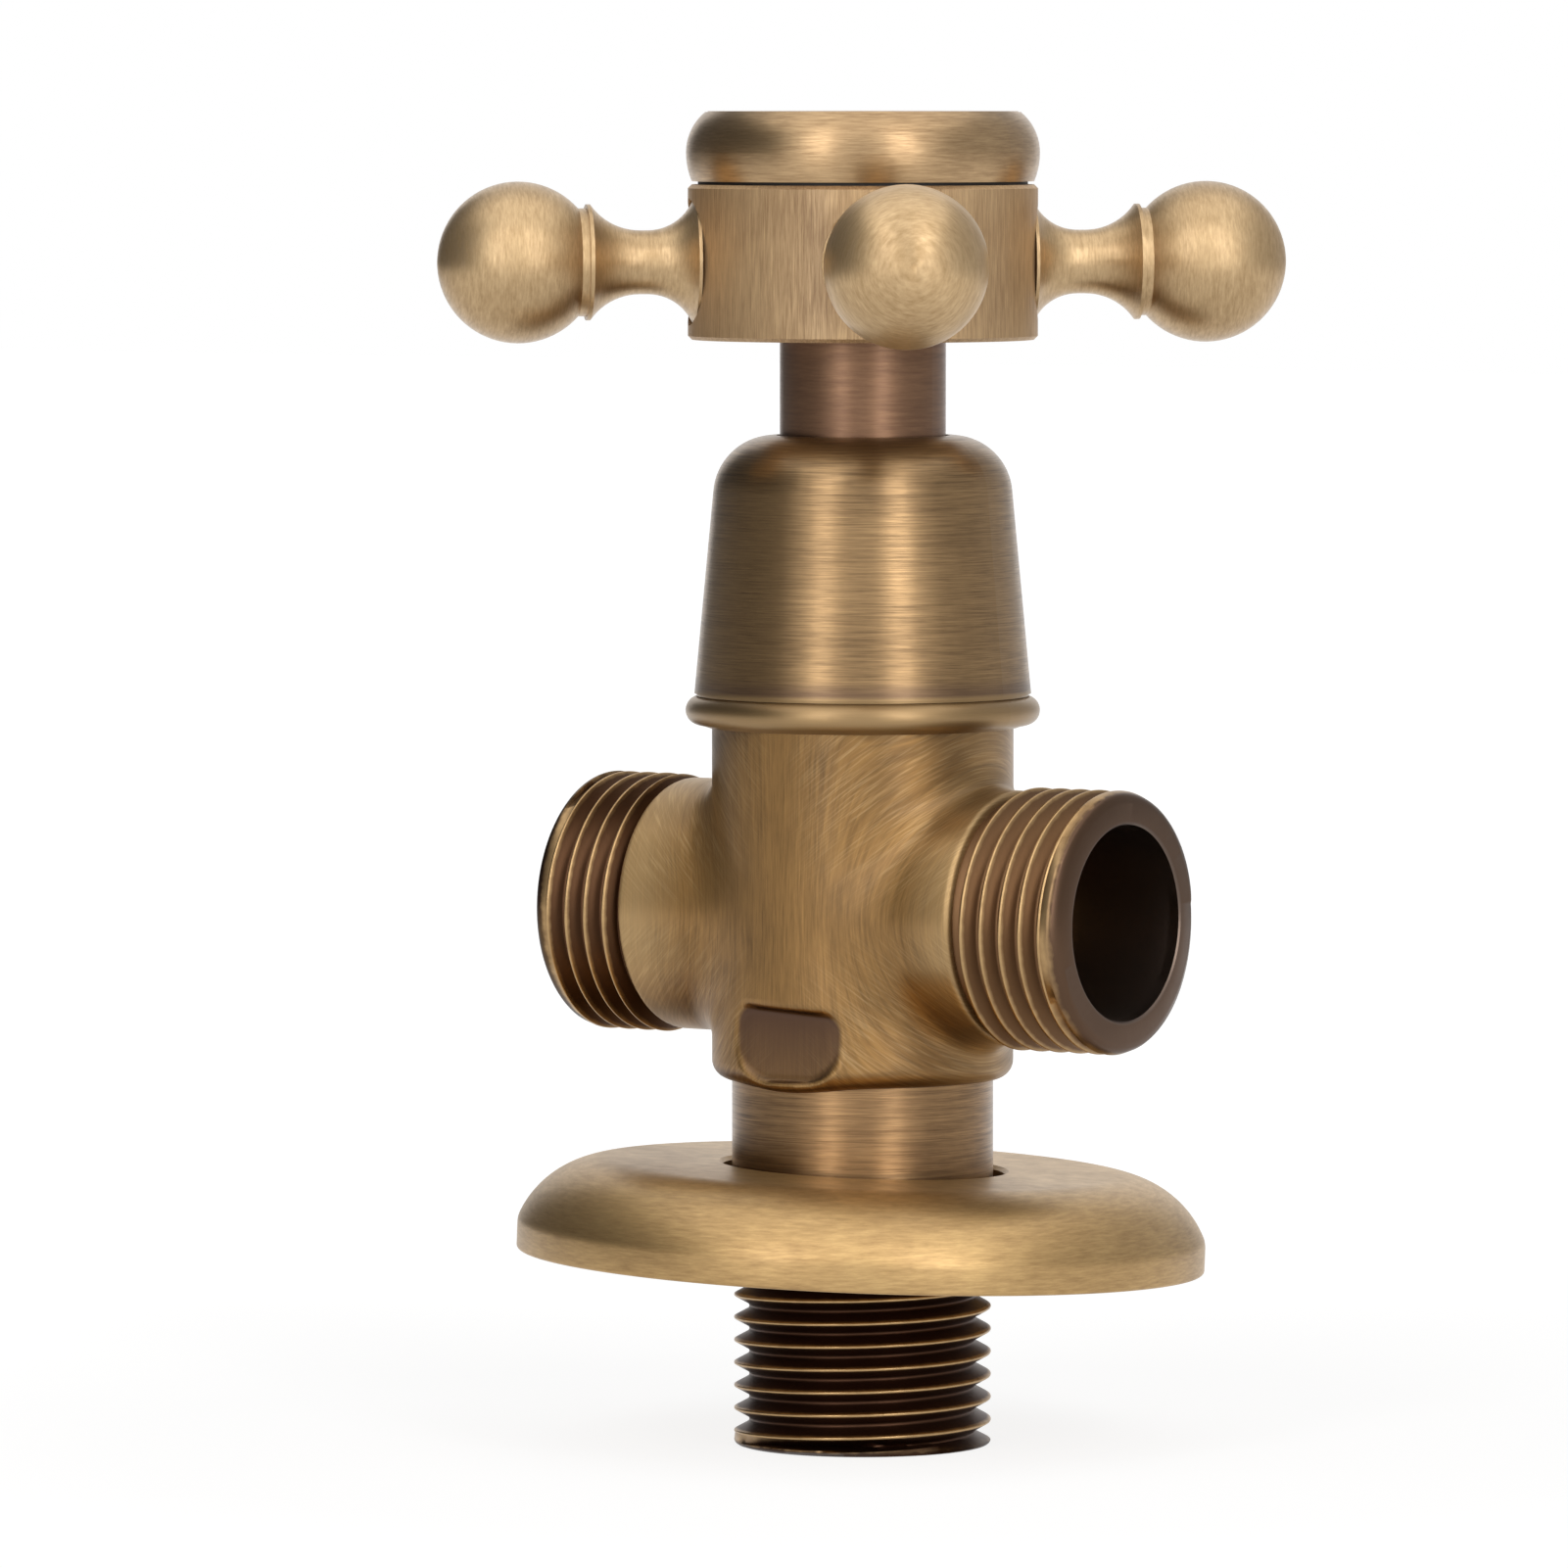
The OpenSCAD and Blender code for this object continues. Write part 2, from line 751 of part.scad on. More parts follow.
module stop_ring() color([0.78, 0.66, 0.38]) {
    ring_r = nose_r - stop_wall_t - run_gap;
    translate([0, 0, stop_z]) linear_extrude(stop_ring_t) difference() {
        union() {
            circle(ring_r);
            intersection() {
                circle(nose_r);
                wedge(-stop_lug / 2, stop_lug / 2, 2 * nose_r);
            }
        }
        polygon(spline_points(spline_r + run_gap));
    }
}

module spindle_clip() color([0.55, 0.55, 0.57]) {
    translate([0, 0, clip_z]) linear_extrude(clip_t) difference() {
        washer_2d(clip_r, clip_groove_r + press_gap);
        translate([-clip_r - over, -clip_mouth / 2]) square([clip_r + over, clip_mouth]);
    }
}

// Sleeve with the spline socket, pressed into the hub's floor
module handle_skirt() color([0.55, 0.42, 0.3]) {
    difference() {
        rotate_extrude() polygon([
            [0, skirt_z],
            [skirt_r - skirt_edge, skirt_z],
            [skirt_r, skirt_z + skirt_edge],
            [skirt_r, hub_z],
            [spigot_r - press_gap, hub_z],
            [spigot_r - press_gap, seat_top_z],
            [0, seat_top_z]
        ]);
        translate([0, 0, skirt_z - over]) linear_extrude(socket_top_z + over - skirt_z)
            polygon(spline_points(spline_r + run_gap));
        translate([0, 0, skirt_z]) cylinder(r = screw_r + screw_hole_gap, h = hub_top_z - skirt_z);
    }
}

// Hub with four spot faces and tapped holes for the arms
module handle_hub() color([0.63, 0.5, 0.31]) {
    difference() {
        rotate_extrude() polygon([
            [spigot_r, hub_z],
            [hub_r - hub_edge, hub_z],
            [hub_r, hub_z + hub_edge],
            [hub_r, hub_top_z - hub_edge],
            [hub_r - hub_edge, hub_top_z],
            [cap_thread_r + thread_gap, hub_top_z],
            [cap_thread_r + thread_gap, hub_top_z - cap_thread_len - cap_thread_free],
            [hub_cavity_r, hub_top_z - cap_thread_len - cap_thread_free],
            [hub_cavity_r, seat_top_z],
            [spigot_r, seat_top_z]
        ]);
        for (i = [0:3])
            rotate([0, 0, arm_turn + 90 * i]) translate([0, 0, arm_z]) rotate([0, 90, 0]) {
                translate([0, 0, foot_plane]) cylinder(r = arm_foot_r + spot_gap, h = hub_r);
                translate([0, 0, foot_plane - stud_len - stud_end_gap])
                    cylinder(r = stud_r + thread_gap, h = hub_r);
            }
    }
}

// One arm of the cross, turned in one piece with its stud and ball
module handle_arm(turn) color([0.66, 0.53, 0.33]) {
    rotate([0, 0, turn]) translate([0, 0, arm_z]) rotate([0, 90, 0])
        rotate_extrude() arm_profile();
}

// Half section of an arm: radius across, distance from the spindle's axis upwards
module arm_profile() {
    rim = foot_plane + foot_rim_t;
    ring_back = arm_reach - ball_r * ring_back_share;
    ring_face = ring_back - arm_ring_t;
    waist_in = rim + flare_in_len;
    waist_out = ring_face - flare_out_len;
    in_r = arc_r(flare_in_len, arm_foot_r - waist_r);
    out_r = arc_r(flare_out_len, arm_ring_r - waist_r);
    groove_r = arm_ring_r - arm_groove_depth;
    translate([0, foot_plane - stud_len]) square([stud_r, stud_len + over]);
    translate([0, foot_plane]) square([arm_foot_r, foot_rim_t]);
    difference() {
        translate([0, rim]) square([arm_foot_r, ring_face - rim]);
        translate([waist_r + in_r, waist_in]) circle(in_r);
        translate([waist_r + out_r, waist_out]) circle(out_r);
        translate([waist_r, waist_in]) square([arm_foot_r, waist_out - waist_in]);
        translate([arm_ring_r, waist_out]) square([arm_foot_r, ring_face - waist_out]);
    }
    translate([0, ring_face]) square([arm_ring_r, arm_ring_t]);
    translate([0, ring_back]) square([groove_r, arm_reach - ring_back]);
    intersection() {
        translate([0, arm_reach]) circle(ball_r);
        translate([0, ring_back]) square([ball_d, ball_d + arm_reach - ring_back]);
    }
}

module screw_washer() color([0.6, 0.6, 0.62]) {
    translate([0, 0, seat_top_z]) linear_extrude(washer_t)
        washer_2d(washer_r, screw_r + screw_hole_gap);
}

module handle_screw() color([0.6, 0.6, 0.62]) {
    top_z = screw_head_z + screw_head_h;
    difference() {
        rotate_extrude() polygon([
            [0, screw_head_z - screw_len],
            [screw_r - screw_edge, screw_head_z - screw_len],
            [screw_r, screw_head_z - screw_len + screw_edge],
            [screw_r, screw_head_z],
            [screw_head_r, screw_head_z],
            [screw_head_r, top_z - screw_edge],
            [screw_head_r - screw_edge, top_z],
            [0, top_z]
        ]);
        for (turn = [0, 90])
            rotate([0, 0, turn]) translate([0, 0, top_z - screw_slot_h])
                linear_extrude(screw_head_h) square([screw_slot_l, screw_slot_w], center = true);
    }
}

module cap_seal() color([0.08, 0.08, 0.08]) {
    translate([0, 0, hub_top_z]) linear_extrude(cap_seal_t)
        washer_2d(cap_r - cap_seal_inset, cap_thread_r + thread_gap);
}

// Turned index cap with a rounded side and a threaded boss
module index_cap() color([0.63, 0.5, 0.31]) {
    boss_z = hub_top_z - cap_thread_len;
    belly_z = cap_z + cap_belly_share * cap_h;
    low_r = arc_r(belly_z - cap_z, cap_bottom_inset);
    high_r = arc_r(cap_top_z - belly_z, cap_top_inset);
    rotate_extrude() difference() {
        union() {
            intersection() {
                translate([0, cap_z]) square([cap_r, belly_z - cap_z]);
                union() {
                    translate([cap_r - low_r, belly_z]) circle(low_r);
                    translate([0, cap_z]) square([cap_r - low_r, cap_h]);
                }
            }
            intersection() {
                translate([0, belly_z]) square([cap_r, cap_top_z - belly_z]);
                union() {
                    translate([cap_r - high_r, belly_z]) circle(high_r);
                    translate([0, cap_z]) square([cap_r - high_r, cap_h]);
                }
            }
            translate([0, boss_z]) square([cap_thread_r, cap_z - boss_z + cap_edge]);
        }
        translate([0, boss_z - over])
            square([cap_thread_r - cap_boss_wall, cap_top_z - cap_roof - boss_z + over]);
        translate([cap_r - cap_top_inset, cap_top_z]) rotate([0, 0, 45])
            square(cap_edge * sqrt(2), center = true);
    }
}

valve_body();
seat_seal();
fixed_disc();
headpart_housing();
headpart_gasket();
bonnet();
grip_ring();
escutcheon();
spindle();
moving_disc();
thrust_ring();
spindle_o_ring(0);  // spindle_o_ring_lower
spindle_o_ring(1);  // spindle_o_ring_upper
stop_ring();
spindle_clip();
handle_skirt();
handle_hub();
handle_arm(arm_turn - 90);  // handle_arm_front
handle_arm(arm_turn);  // handle_arm_right
handle_arm(arm_turn + 90);  // handle_arm_rear
handle_arm(arm_turn + 180);  // handle_arm_left
handle_screw();
screw_washer();
cap_seal();
index_cap();
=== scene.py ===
import math

import bmesh
import bpy
import numpy as np
from mathutils import Matrix, Vector


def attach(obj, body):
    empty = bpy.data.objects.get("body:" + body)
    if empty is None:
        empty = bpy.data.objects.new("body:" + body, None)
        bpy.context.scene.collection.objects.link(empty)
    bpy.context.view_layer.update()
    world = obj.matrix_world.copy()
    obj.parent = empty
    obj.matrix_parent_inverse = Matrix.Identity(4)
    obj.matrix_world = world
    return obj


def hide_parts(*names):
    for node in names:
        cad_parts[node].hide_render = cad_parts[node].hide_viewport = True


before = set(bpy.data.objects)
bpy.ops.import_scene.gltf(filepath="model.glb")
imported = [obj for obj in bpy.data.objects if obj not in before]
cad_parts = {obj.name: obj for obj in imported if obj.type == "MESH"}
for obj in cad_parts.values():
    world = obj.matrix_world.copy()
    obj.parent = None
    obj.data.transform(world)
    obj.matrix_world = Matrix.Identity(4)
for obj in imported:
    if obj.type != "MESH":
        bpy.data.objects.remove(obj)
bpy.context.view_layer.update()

# VALVE BODY: barrel and outlet roots
# One hot forging of brass with an upright barrel and two opposed outlets, belt ground along the
# blends, then antiqued brown and brushed back by hand. Two wrench pockets are milled low on the
# sides away from the outlets. All sizes in this file are in millimetres until a mesh is made.
MM = 0.001
INLET_BORE_R = 7.0
SHOULDER_Z = 28.8
BARREL_R = 12.0
BARREL_TOP_Z = 63.0
BARREL_EDGE = 1.5
OUTLET_Z = 42.6
OUTLET_ROOT_R = 10.1
OUTLET_ROOT_RIGHT = 14.8
OUTLET_ROOT_LEFT = 16.9
OUTLET_ROOT_EDGE = 0.5
OUTLET_BORE_R = 7.4
CROTCH_BLEND = 2.0
POCKET_Z = 32.55
POCKET_HALF = (4.75, 2.85)
POCKET_CORNERS = (3.1, 1.5)
POCKET_SLANT = 0.06
POCKET_LIP = 0.5
POCKET_LIP_HALF = 4.2
POCKET_FLOOR = 10.95
POCKET_RIM = 0.6
POCKET_FILLET = 0.6
POCKET_TURN = math.radians(2)
# Radius, lower end and upper end of each bore on the spindle's axis, from the inlet upwards.
WATERWAY = ((INLET_BORE_R, -1.0, 36.5), (5.2, 36.0, 40.0), (9.8, 39.5, 64.0), (10.55, 54.0, 64.0))
OUTLET_BORE_X = 8.6


def smooth_union(a, b, width):
    """The union of two distances, with a blend of about this width where they meet."""
    share = np.maximum(width - np.abs(a - b), 0) / width
    return np.minimum(a, b) - share * share * width / 4


def rounded_corner(u, v, radius):
    """Distance to a corner rounded by this radius, from the distances to its two sides."""
    return np.hypot(np.maximum(u, 0), np.maximum(v, 0)) + np.minimum(np.maximum(u, v), 0) - radius


def body_distance(p):
    """Signed distance to the forging, negative in the metal."""
    x, y, z = p.T
    r = np.hypot(x, y)
    u = x * math.cos(POCKET_TURN) + y * math.sin(POCKET_TURN)
    v = y * math.cos(POCKET_TURN) - x * math.sin(POCKET_TURN)
    foot = SHOULDER_Z + POCKET_LIP * (1 - np.exp(-(u / POCKET_LIP_HALF) ** 2))
    barrel = rounded_corner(r - BARREL_R + BARREL_EDGE, foot + BARREL_EDGE - z, BARREL_EDGE)
    outlets = np.hypot(y, z - OUTLET_Z) - OUTLET_ROOT_R
    solid = smooth_union(barrel, outlets, CROTCH_BLEND)
    corner = np.where(z < POCKET_Z, *POCKET_CORNERS)
    rise = np.maximum(z - POCKET_Z + POCKET_SLANT * u, POCKET_Z - z)
    outline = rounded_corner(np.abs(u) - POCKET_HALF[0] + corner,
                             rise - POCKET_HALF[1] + corner, corner)
    pocket = -smooth_union(-outline, np.abs(v) - POCKET_FLOOR, POCKET_FILLET)
    solid = -smooth_union(-solid, pocket, POCKET_RIM)
    span = np.maximum(x - OUTLET_ROOT_RIGHT, -OUTLET_ROOT_LEFT - x)
    solid = -smooth_union(-solid, -span, OUTLET_ROOT_EDGE)
    water = np.maximum(np.hypot(y, z - OUTLET_Z) - OUTLET_BORE_R, OUTLET_BORE_X - np.abs(x))
    for radius, low, high in WATERWAY:
        water = np.minimum(water, np.maximum(r - radius, np.maximum(low - z, z - high)))
    ends = np.maximum(SHOULDER_Z - z, z - BARREL_TOP_Z)
    return np.maximum(np.maximum(solid, -water), ends)


def slope(distance, p, reach):
    """Gradient of a distance, by central differences."""
    steps = np.eye(3) * reach
    return np.stack([distance(p + s) - distance(p - s) for s in steps], 1) / (2 * reach)


def net_over(distance, low, high, step):
    """A closed quad net over the zero surface of a distance, one point in each cell it crosses."""
    lines = [np.arange(a, b + step, step) for a, b in zip(low, high)]
    size = [len(line) for line in lines]
    grid = np.stack(np.meshgrid(*lines, indexing="ij"), -1).reshape(-1, 3)
    value = distance(grid).reshape(size)
    cells = [n - 1 for n in size]
    total, count = np.zeros(cells + [3]), np.zeros(cells)

    def corner(offset):
        return value[tuple(slice(o, o + n) for o, n in zip(offset, cells))]

    # The point of a cell is the mean of the places where its twelve edges cross the surface.
    for axis in range(3):
        others = [a for a in range(3) if a != axis]
        for code in range(4):
            start = [0, 0, 0]
            start[others[0]], start[others[1]] = code & 1, code >> 1
            end = list(start)
            end[axis] = 1
            a, b = corner(start), corner(end)
            crossed = (a < 0) != (b < 0)
            share = np.where(crossed, a / np.where(crossed, a - b, 1), 0)
            for k in range(3):
                total[..., k] += np.where(crossed, start[k] + (share if k == axis else 0), 0)
            count += crossed
    live = count > 0
    number = np.full(cells, -1)
    number[live] = np.arange(live.sum())
    points = np.array(low) + (np.argwhere(live) + total[live] / count[live][:, None]) * step
    # Each crossed edge of the grid gets a quad between the points of the four cells round it.
    quads = []
    for axis in range(3):
        b, c = [(1, 2), (2, 0), (0, 1)][axis]
        inner = [slice(1, -1)] * 3
        inner[axis] = slice(0, -1)
        shifted = list(inner)
        shifted[axis] = slice(1, None)
        here, there = value[tuple(inner)] < 0, value[tuple(shifted)] < 0
        for leaving in (True, False):
            at = np.argwhere((here != there) & (here == leaving))
            for k in (b, c):
                at[:, k] += 1
            ring = []
            for db, dc in ((-1, -1), (0, -1), (0, 0), (-1, 0)):
                cell = at.copy()
                cell[:, b] += db
                cell[:, c] += dc
                ring.append(number[tuple(cell.T)])
            quads.append(np.stack(ring if leaving else ring[::-1], 1))
    # Three times over, each point is moved along the slope onto the surface.
    for _ in range(3):
        g = slope(distance, points, step / 12)
        points -= distance(points)[:, None] * g / np.maximum((g * g).sum(1), 0.3)[:, None]
    return points, np.concatenate(quads)


def piece(name, points, faces, body, finish, replaced=()):
    """A smooth shaded piece from points in millimetres, riding on a body of the valve."""
    mesh = bpy.data.meshes.new(name)
    mesh.from_pydata((np.asarray(points) * MM).tolist(), [], [list(map(int, f)) for f in faces])
    mesh.validate()
    mesh.materials.append(finish)
    mesh.shade_smooth()
    made = bpy.data.objects.new(name, mesh)
    bpy.context.scene.collection.objects.link(made)
    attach(made, body)
    if replaced:
        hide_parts(*replaced)
    return made


def linear(code):
    """Linear colour from an sRGB hex code."""
    parts = [int(code[i:i + 2], 16) / 255 for i in (1, 3, 5)]
    return [c / 12.92 if c <= 0.04045 else ((c + 0.055) / 1.055) ** 2.4 for c in parts] + [1.0]


def node(tree, kind, inputs=None, **settings):
    """Adds a shader node with its settings. A socket among the inputs is linked, a value is set."""
    made = tree.nodes.new("ShaderNode" + kind)
    for key, value in settings.items():
        setattr(made, key, value)
    for key, value in (inputs or {}).items():
        if isinstance(value, bpy.types.NodeSocket):
            tree.links.new(value, made.inputs[key])
        else:
            made.inputs[key].default_value = value
    return made


def blank(name):
    """An empty material and its tree."""
    made = bpy.data.materials.new(name)
    made.use_nodes = True
    made.node_tree.nodes.clear()
    return made, made.node_tree


def brushed_brass(name, high, low, grain, rough, bump=0.2, warp=None, turn=(0, 0, 0), axis=None,
                  centre=(0, 0, 0), along=False, spread=0.6, bare=(), strokes=None):
    """Brass, antiqued brown and brushed back. high and low are its rubbed and its left dark colour,
    grain the length in millimetres over which the brush marks change along each axis. The marks run
    round the axis, or along it, and spread its highlights across themselves. bare lists a mask, a
    colour and a roughness for each place that the brush left otherwise, and for each painted shade,
    and strokes gives a mask of light strokes. A thin clear lacquer over all pales the brass where
    it is seen at a low angle.
    The real marks lie 0.02 to 0.05 mm apart, less than a pixel of the picture, so that they are
    drawn coarser, at 0.1 mm or more. The patches that handling left are about 6 mm wide."""
    made, tree = blank(name)
    place = node(tree, "TexCoord").outputs["Object"]
    shaped = place
    if warp:
        shaped = warp(tree, place)
    elif any(turn):
        shaped = node(tree, "Mapping", {"Vector": place, "Rotation": turn}).outputs[0]
    layers = []
    for coarse, detail in ((1.0, 3.0), (3.0, 1.0)):
        scale = [1 / (g * MM * coarse) for g in grain]
        vector = node(tree, "VectorMath", {0: shaped, 1: scale}, operation="MULTIPLY").outputs[0]
        layers.append(node(tree, "TexNoise", {"Vector": vector, "Scale": 1.0, "Detail": detail,
                                              "Roughness": 0.65}).outputs["Fac"])
    blotch = node(tree, "TexNoise", {"Vector": place, "Scale": 1 / (6 * MM),
                                     "Detail": 4.0}).outputs["Fac"]
    mixed = node(tree, "Mix", {"Factor": 0.4, "A": blotch, "B": layers[1]},
                 data_type="FLOAT").outputs[0]
    fine = node(tree, "Mix", {"Factor": 0.55, "A": mixed, "B": layers[0]},
                data_type="FLOAT").outputs[0]
    share = node(tree, "MapRange", {"Value": fine, "From Min": 0.3, "From Max": 0.7}).outputs[0]
    colour = node(tree, "Mix", {"Factor": share, "A": linear(low), "B": linear(high)},
                  data_type="RGBA").outputs[2]
    if strokes:
        rubbed = strokes(tree, place)
        colour = node(tree, "Mix", {"Factor": rubbed, "A": colour, "B": linear("#d9ba88")},
                      data_type="RGBA").outputs[2]
    roughness = node(tree, "MapRange", {"Value": fine, "From Min": 0.3, "From Max": 0.7,
                                        "To Min": rough[1], "To Max": rough[0]}).outputs[0]
    for find, tone, matt in bare:
        mask = find(tree, place)
        colour = node(tree, "Mix", {"Factor": mask, "A": colour, "B": linear(tone)},
                      data_type="RGBA").outputs[2]
        roughness = node(tree, "Mix", {"Factor": mask, "A": roughness, "B": matt},
                         data_type="FLOAT").outputs[0]
    relief = node(tree, "Bump", {"Height": layers[0], "Strength": bump,
                                 "Distance": 0.03 * MM}).outputs[0]
    shader = node(tree, "BsdfPrincipled", {"Base Color": colour, "Metallic": 1.0,
                                           "Roughness": roughness, "Normal": relief,
                                           "Coat Weight": 0.3, "Coat Roughness": 0.3})
    if axis:
        arm = node(tree, "VectorMath", {0: place, 1: [c * MM for c in centre]},
                   operation="SUBTRACT").outputs[0]
        ring = node(tree, "VectorMath", {0: axis, 1: arm}, operation="CROSS_PRODUCT").outputs[0]
        world_ring = node(tree, "VectorTransform", {0: ring}, vector_type="VECTOR",
                          convert_from="OBJECT", convert_to="WORLD").outputs[0]
        tree.links.new(world_ring, shader.inputs["Tangent"])
        shader.inputs["Anisotropic"].default_value = spread
        shader.inputs["Anisotropic Rotation"].default_value = 0.0 if along else 0.25
    node(tree, "OutputMaterial", {"Surface": shader.outputs[0]})
    return made


def ground_field(tree, place):
    """Bends the brush marks round the crotch of an outlet, the way the belt follows the blend. The
    bend grows from 2 to 13 mm beside the barrel's axis, and is gone at 19 mm."""
    x, y, z = node(tree, "SeparateXYZ", {0: place}).outputs
    side = node(tree, "Math", {0: x}, operation="ABSOLUTE").outputs[0]
    rise = node(tree, "Math", {0: z, 1: OUTLET_Z * MM}, operation="SUBTRACT").outputs[0]
    square = node(tree, "Math", {0: rise, 1: rise, 2: (4 * MM) ** 2},
                  operation="MULTIPLY_ADD").outputs[0]
    bow = node(tree, "Math", {0: square, 1: 0.5}, operation="POWER").outputs[0]
    lean = node(tree, "MapRange", {"Value": side, "From Min": 2 * MM, "From Max": 13 * MM,
                                   "To Min": 0.03, "To Max": 0.5},
                interpolation_type="SMOOTHSTEP").outputs[0]
    calm = node(tree, "MapRange", {"Value": side, "From Min": 13 * MM, "From Max": 19 * MM,
                                   "To Min": 1.0, "To Max": 0.0},
                interpolation_type="SMOOTHSTEP").outputs[0]
    lean = node(tree, "Math", {0: lean, 1: calm}, operation="MULTIPLY").outputs[0]
    pull = node(tree, "Math", {0: bow, 1: lean}, operation="MULTIPLY").outputs[0]
    bent = node(tree, "Math", {0: side, 1: pull}, operation="SUBTRACT").outputs[0]
    return node(tree, "CombineXYZ", {0: bent, 1: x, 2: z}).outputs[0]


def hand_strokes(tree, place):
    """Light strokes of the hand, about 0.12 mm apart, which fan out from the barrel along the four
    crotches, and the paler roots of the outlets, where the hand rubbed round."""
    x, y, z = node(tree, "SeparateXYZ", {0: place}).outputs
    rise = node(tree, "Math", {0: z, 1: OUTLET_Z * MM}, operation="SUBTRACT").outputs[0]
    corner = node(tree, "Math", {0: x, 1: rise}, operation="MULTIPLY").outputs[0]
    shown = []
    for tilt in (-0.85, 0.85):
        tilted = node(tree, "Mapping", {"Vector": place, "Rotation": (0, tilt, 0)}).outputs[0]
        vector = node(tree, "VectorMath", {0: tilted, 1: [1 / (g * MM) for g in (0.12, 3, 3)]},
                      operation="MULTIPLY").outputs[0]
        stroke = node(tree, "TexNoise", {"Vector": vector, "Scale": 1.0,
                                         "Detail": 1.0}).outputs["Fac"]
        line = node(tree, "MapRange", {"Value": stroke, "From Min": 0.48,
                                       "From Max": 0.75}).outputs[0]
        sign = -1 if tilt > 0 else 1
        near = node(tree, "MapRange", {"Value": corner, "From Min": sign * 2 * MM * MM,
                                       "From Max": sign * 50 * MM * MM}).outputs[0]
        shown.append(node(tree, "Math", {0: line, 1: near}, operation="MULTIPLY").outputs[0])
    most = node(tree, "Math", {0: shown[0], 1: shown[1]}, operation="MAXIMUM").outputs[0]
    side = node(tree, "Math", {0: x}, operation="ABSOLUTE").outputs[0]
    root = node(tree, "MapRange", {"Value": side, "From Min": 10.5 * MM, "From Max": 15 * MM,
                                   "To Max": 0.36}).outputs[0]
    return node(tree, "Math", {0: most, 1: 0.24, 2: root}, operation="MULTIPLY_ADD").outputs[0]


def pocket_patina_and_shade_mask(tree, place):
    """High inside the outlines of the two wrench pockets, where brown patina is left, and most of
    all under their upper edge, a painted shade there; zero outside, with a slightly ragged edge."""
    turned = node(tree, "Mapping", {"Vector": place, "Rotation": (0, 0, -POCKET_TURN)}).outputs[0]
    x, y, z = node(tree, "SeparateXYZ", {0: turned}).outputs
    rise = node(tree, "Math", {0: z, 1: POCKET_Z * MM}, operation="SUBTRACT").outputs[0]
    upper = node(tree, "Math", {0: rise, 1: 0.0}, operation="GREATER_THAN").outputs[0]
    corner = node(tree, "MapRange", {"Value": upper, "To Min": POCKET_CORNERS[0] * MM,
                                     "To Max": POCKET_CORNERS[1] * MM}).outputs[0]
    slanted = node(tree, "Math", {0: x, 1: POCKET_SLANT, 2: rise},
                   operation="MULTIPLY_ADD").outputs[0]
    drop = node(tree, "Math", {0: rise, 1: -1.0}, operation="MULTIPLY").outputs[0]
    size_x = node(tree, "Math", {0: x}, operation="ABSOLUTE").outputs[0]
    size_z = node(tree, "Math", {0: slanted, 1: drop}, operation="MAXIMUM").outputs[0]
    over = []
    for size, half in ((size_x, POCKET_HALF[0]), (size_z, POCKET_HALF[1])):
        past = node(tree, "Math", {0: size, 1: half * MM}, operation="SUBTRACT").outputs[0]
        past = node(tree, "Math", {0: past, 1: corner}, operation="ADD").outputs[0]
        over.append(node(tree, "Math", {0: past, 1: 0.0}, operation="MAXIMUM").outputs[0])
    outside = node(tree, "CombineXYZ", {0: over[0], 1: over[1]}).outputs[0]
    reach = node(tree, "VectorMath", {0: outside}, operation="LENGTH").outputs["Value"]
    past = node(tree, "Math", {0: reach, 1: corner}, operation="SUBTRACT").outputs[0]
    ragged = node(tree, "TexNoise", {"Vector": place, "Scale": 1 / (0.5 * MM),
                                     "Detail": 3.0}).outputs["Fac"]
    edge = node(tree, "Math", {0: ragged, 1: 0.12 * MM, 2: past},
                operation="MULTIPLY_ADD").outputs[0]
    inside = node(tree, "MapRange", {"Value": edge, "From Min": -0.15 * MM, "From Max": 0.25 * MM,
                                     "To Min": 1.0, "To Max": 0.0}).outputs[0]
    # Painted shade: the pocket is darkest under its upper edge and paler towards its lower edge.
    upper_edge_shade = node(tree, "MapRange", {"Value": rise, "From Min": -2.8 * MM, "From Max": 2.6 * MM,
                                   "To Min": 0.6, "To Max": 1.0}).outputs[0]
    return node(tree, "Math", {0: inside, 1: upper_edge_shade}, operation="MULTIPLY").outputs[0]


# Antique brass, belt ground: a broad soft shine, with brown and gold marks that bend round the
# crotches, paler roots, and brown left in the pockets, with a painted shade under their upper edge.
forged_brass = brushed_brass("antique_brass_belt_ground", "#a17b49", "#6a4f2e", (0.13, 3, 3),
                             (0.38, 0.5), warp=ground_field, axis=(1, 0, 0),
                             centre=(0, 0, OUTLET_Z), spread=0.8,
                             bare=[(pocket_patina_and_shade_mask, "#523a2b", 0.42)], strokes=hand_strokes)
NET_LOW = (-17.1, -12.9, 28.3)
NET_HIGH = (15.3, 12.9, 63.5)
NET_STEP = 0.27
NORMAL_REACH = 0.12
points, quads = net_over(body_distance, NET_LOW, NET_HIGH, NET_STEP)
body_forging = piece("body_forging", points, quads, "valve", forged_brass, replaced=["valve_body"])
normals = slope(body_distance, points, NORMAL_REACH)
normals /= np.linalg.norm(normals, axis=1)[:, None]
body_forging.data.normals_split_custom_set_from_vertices(normals.tolist())

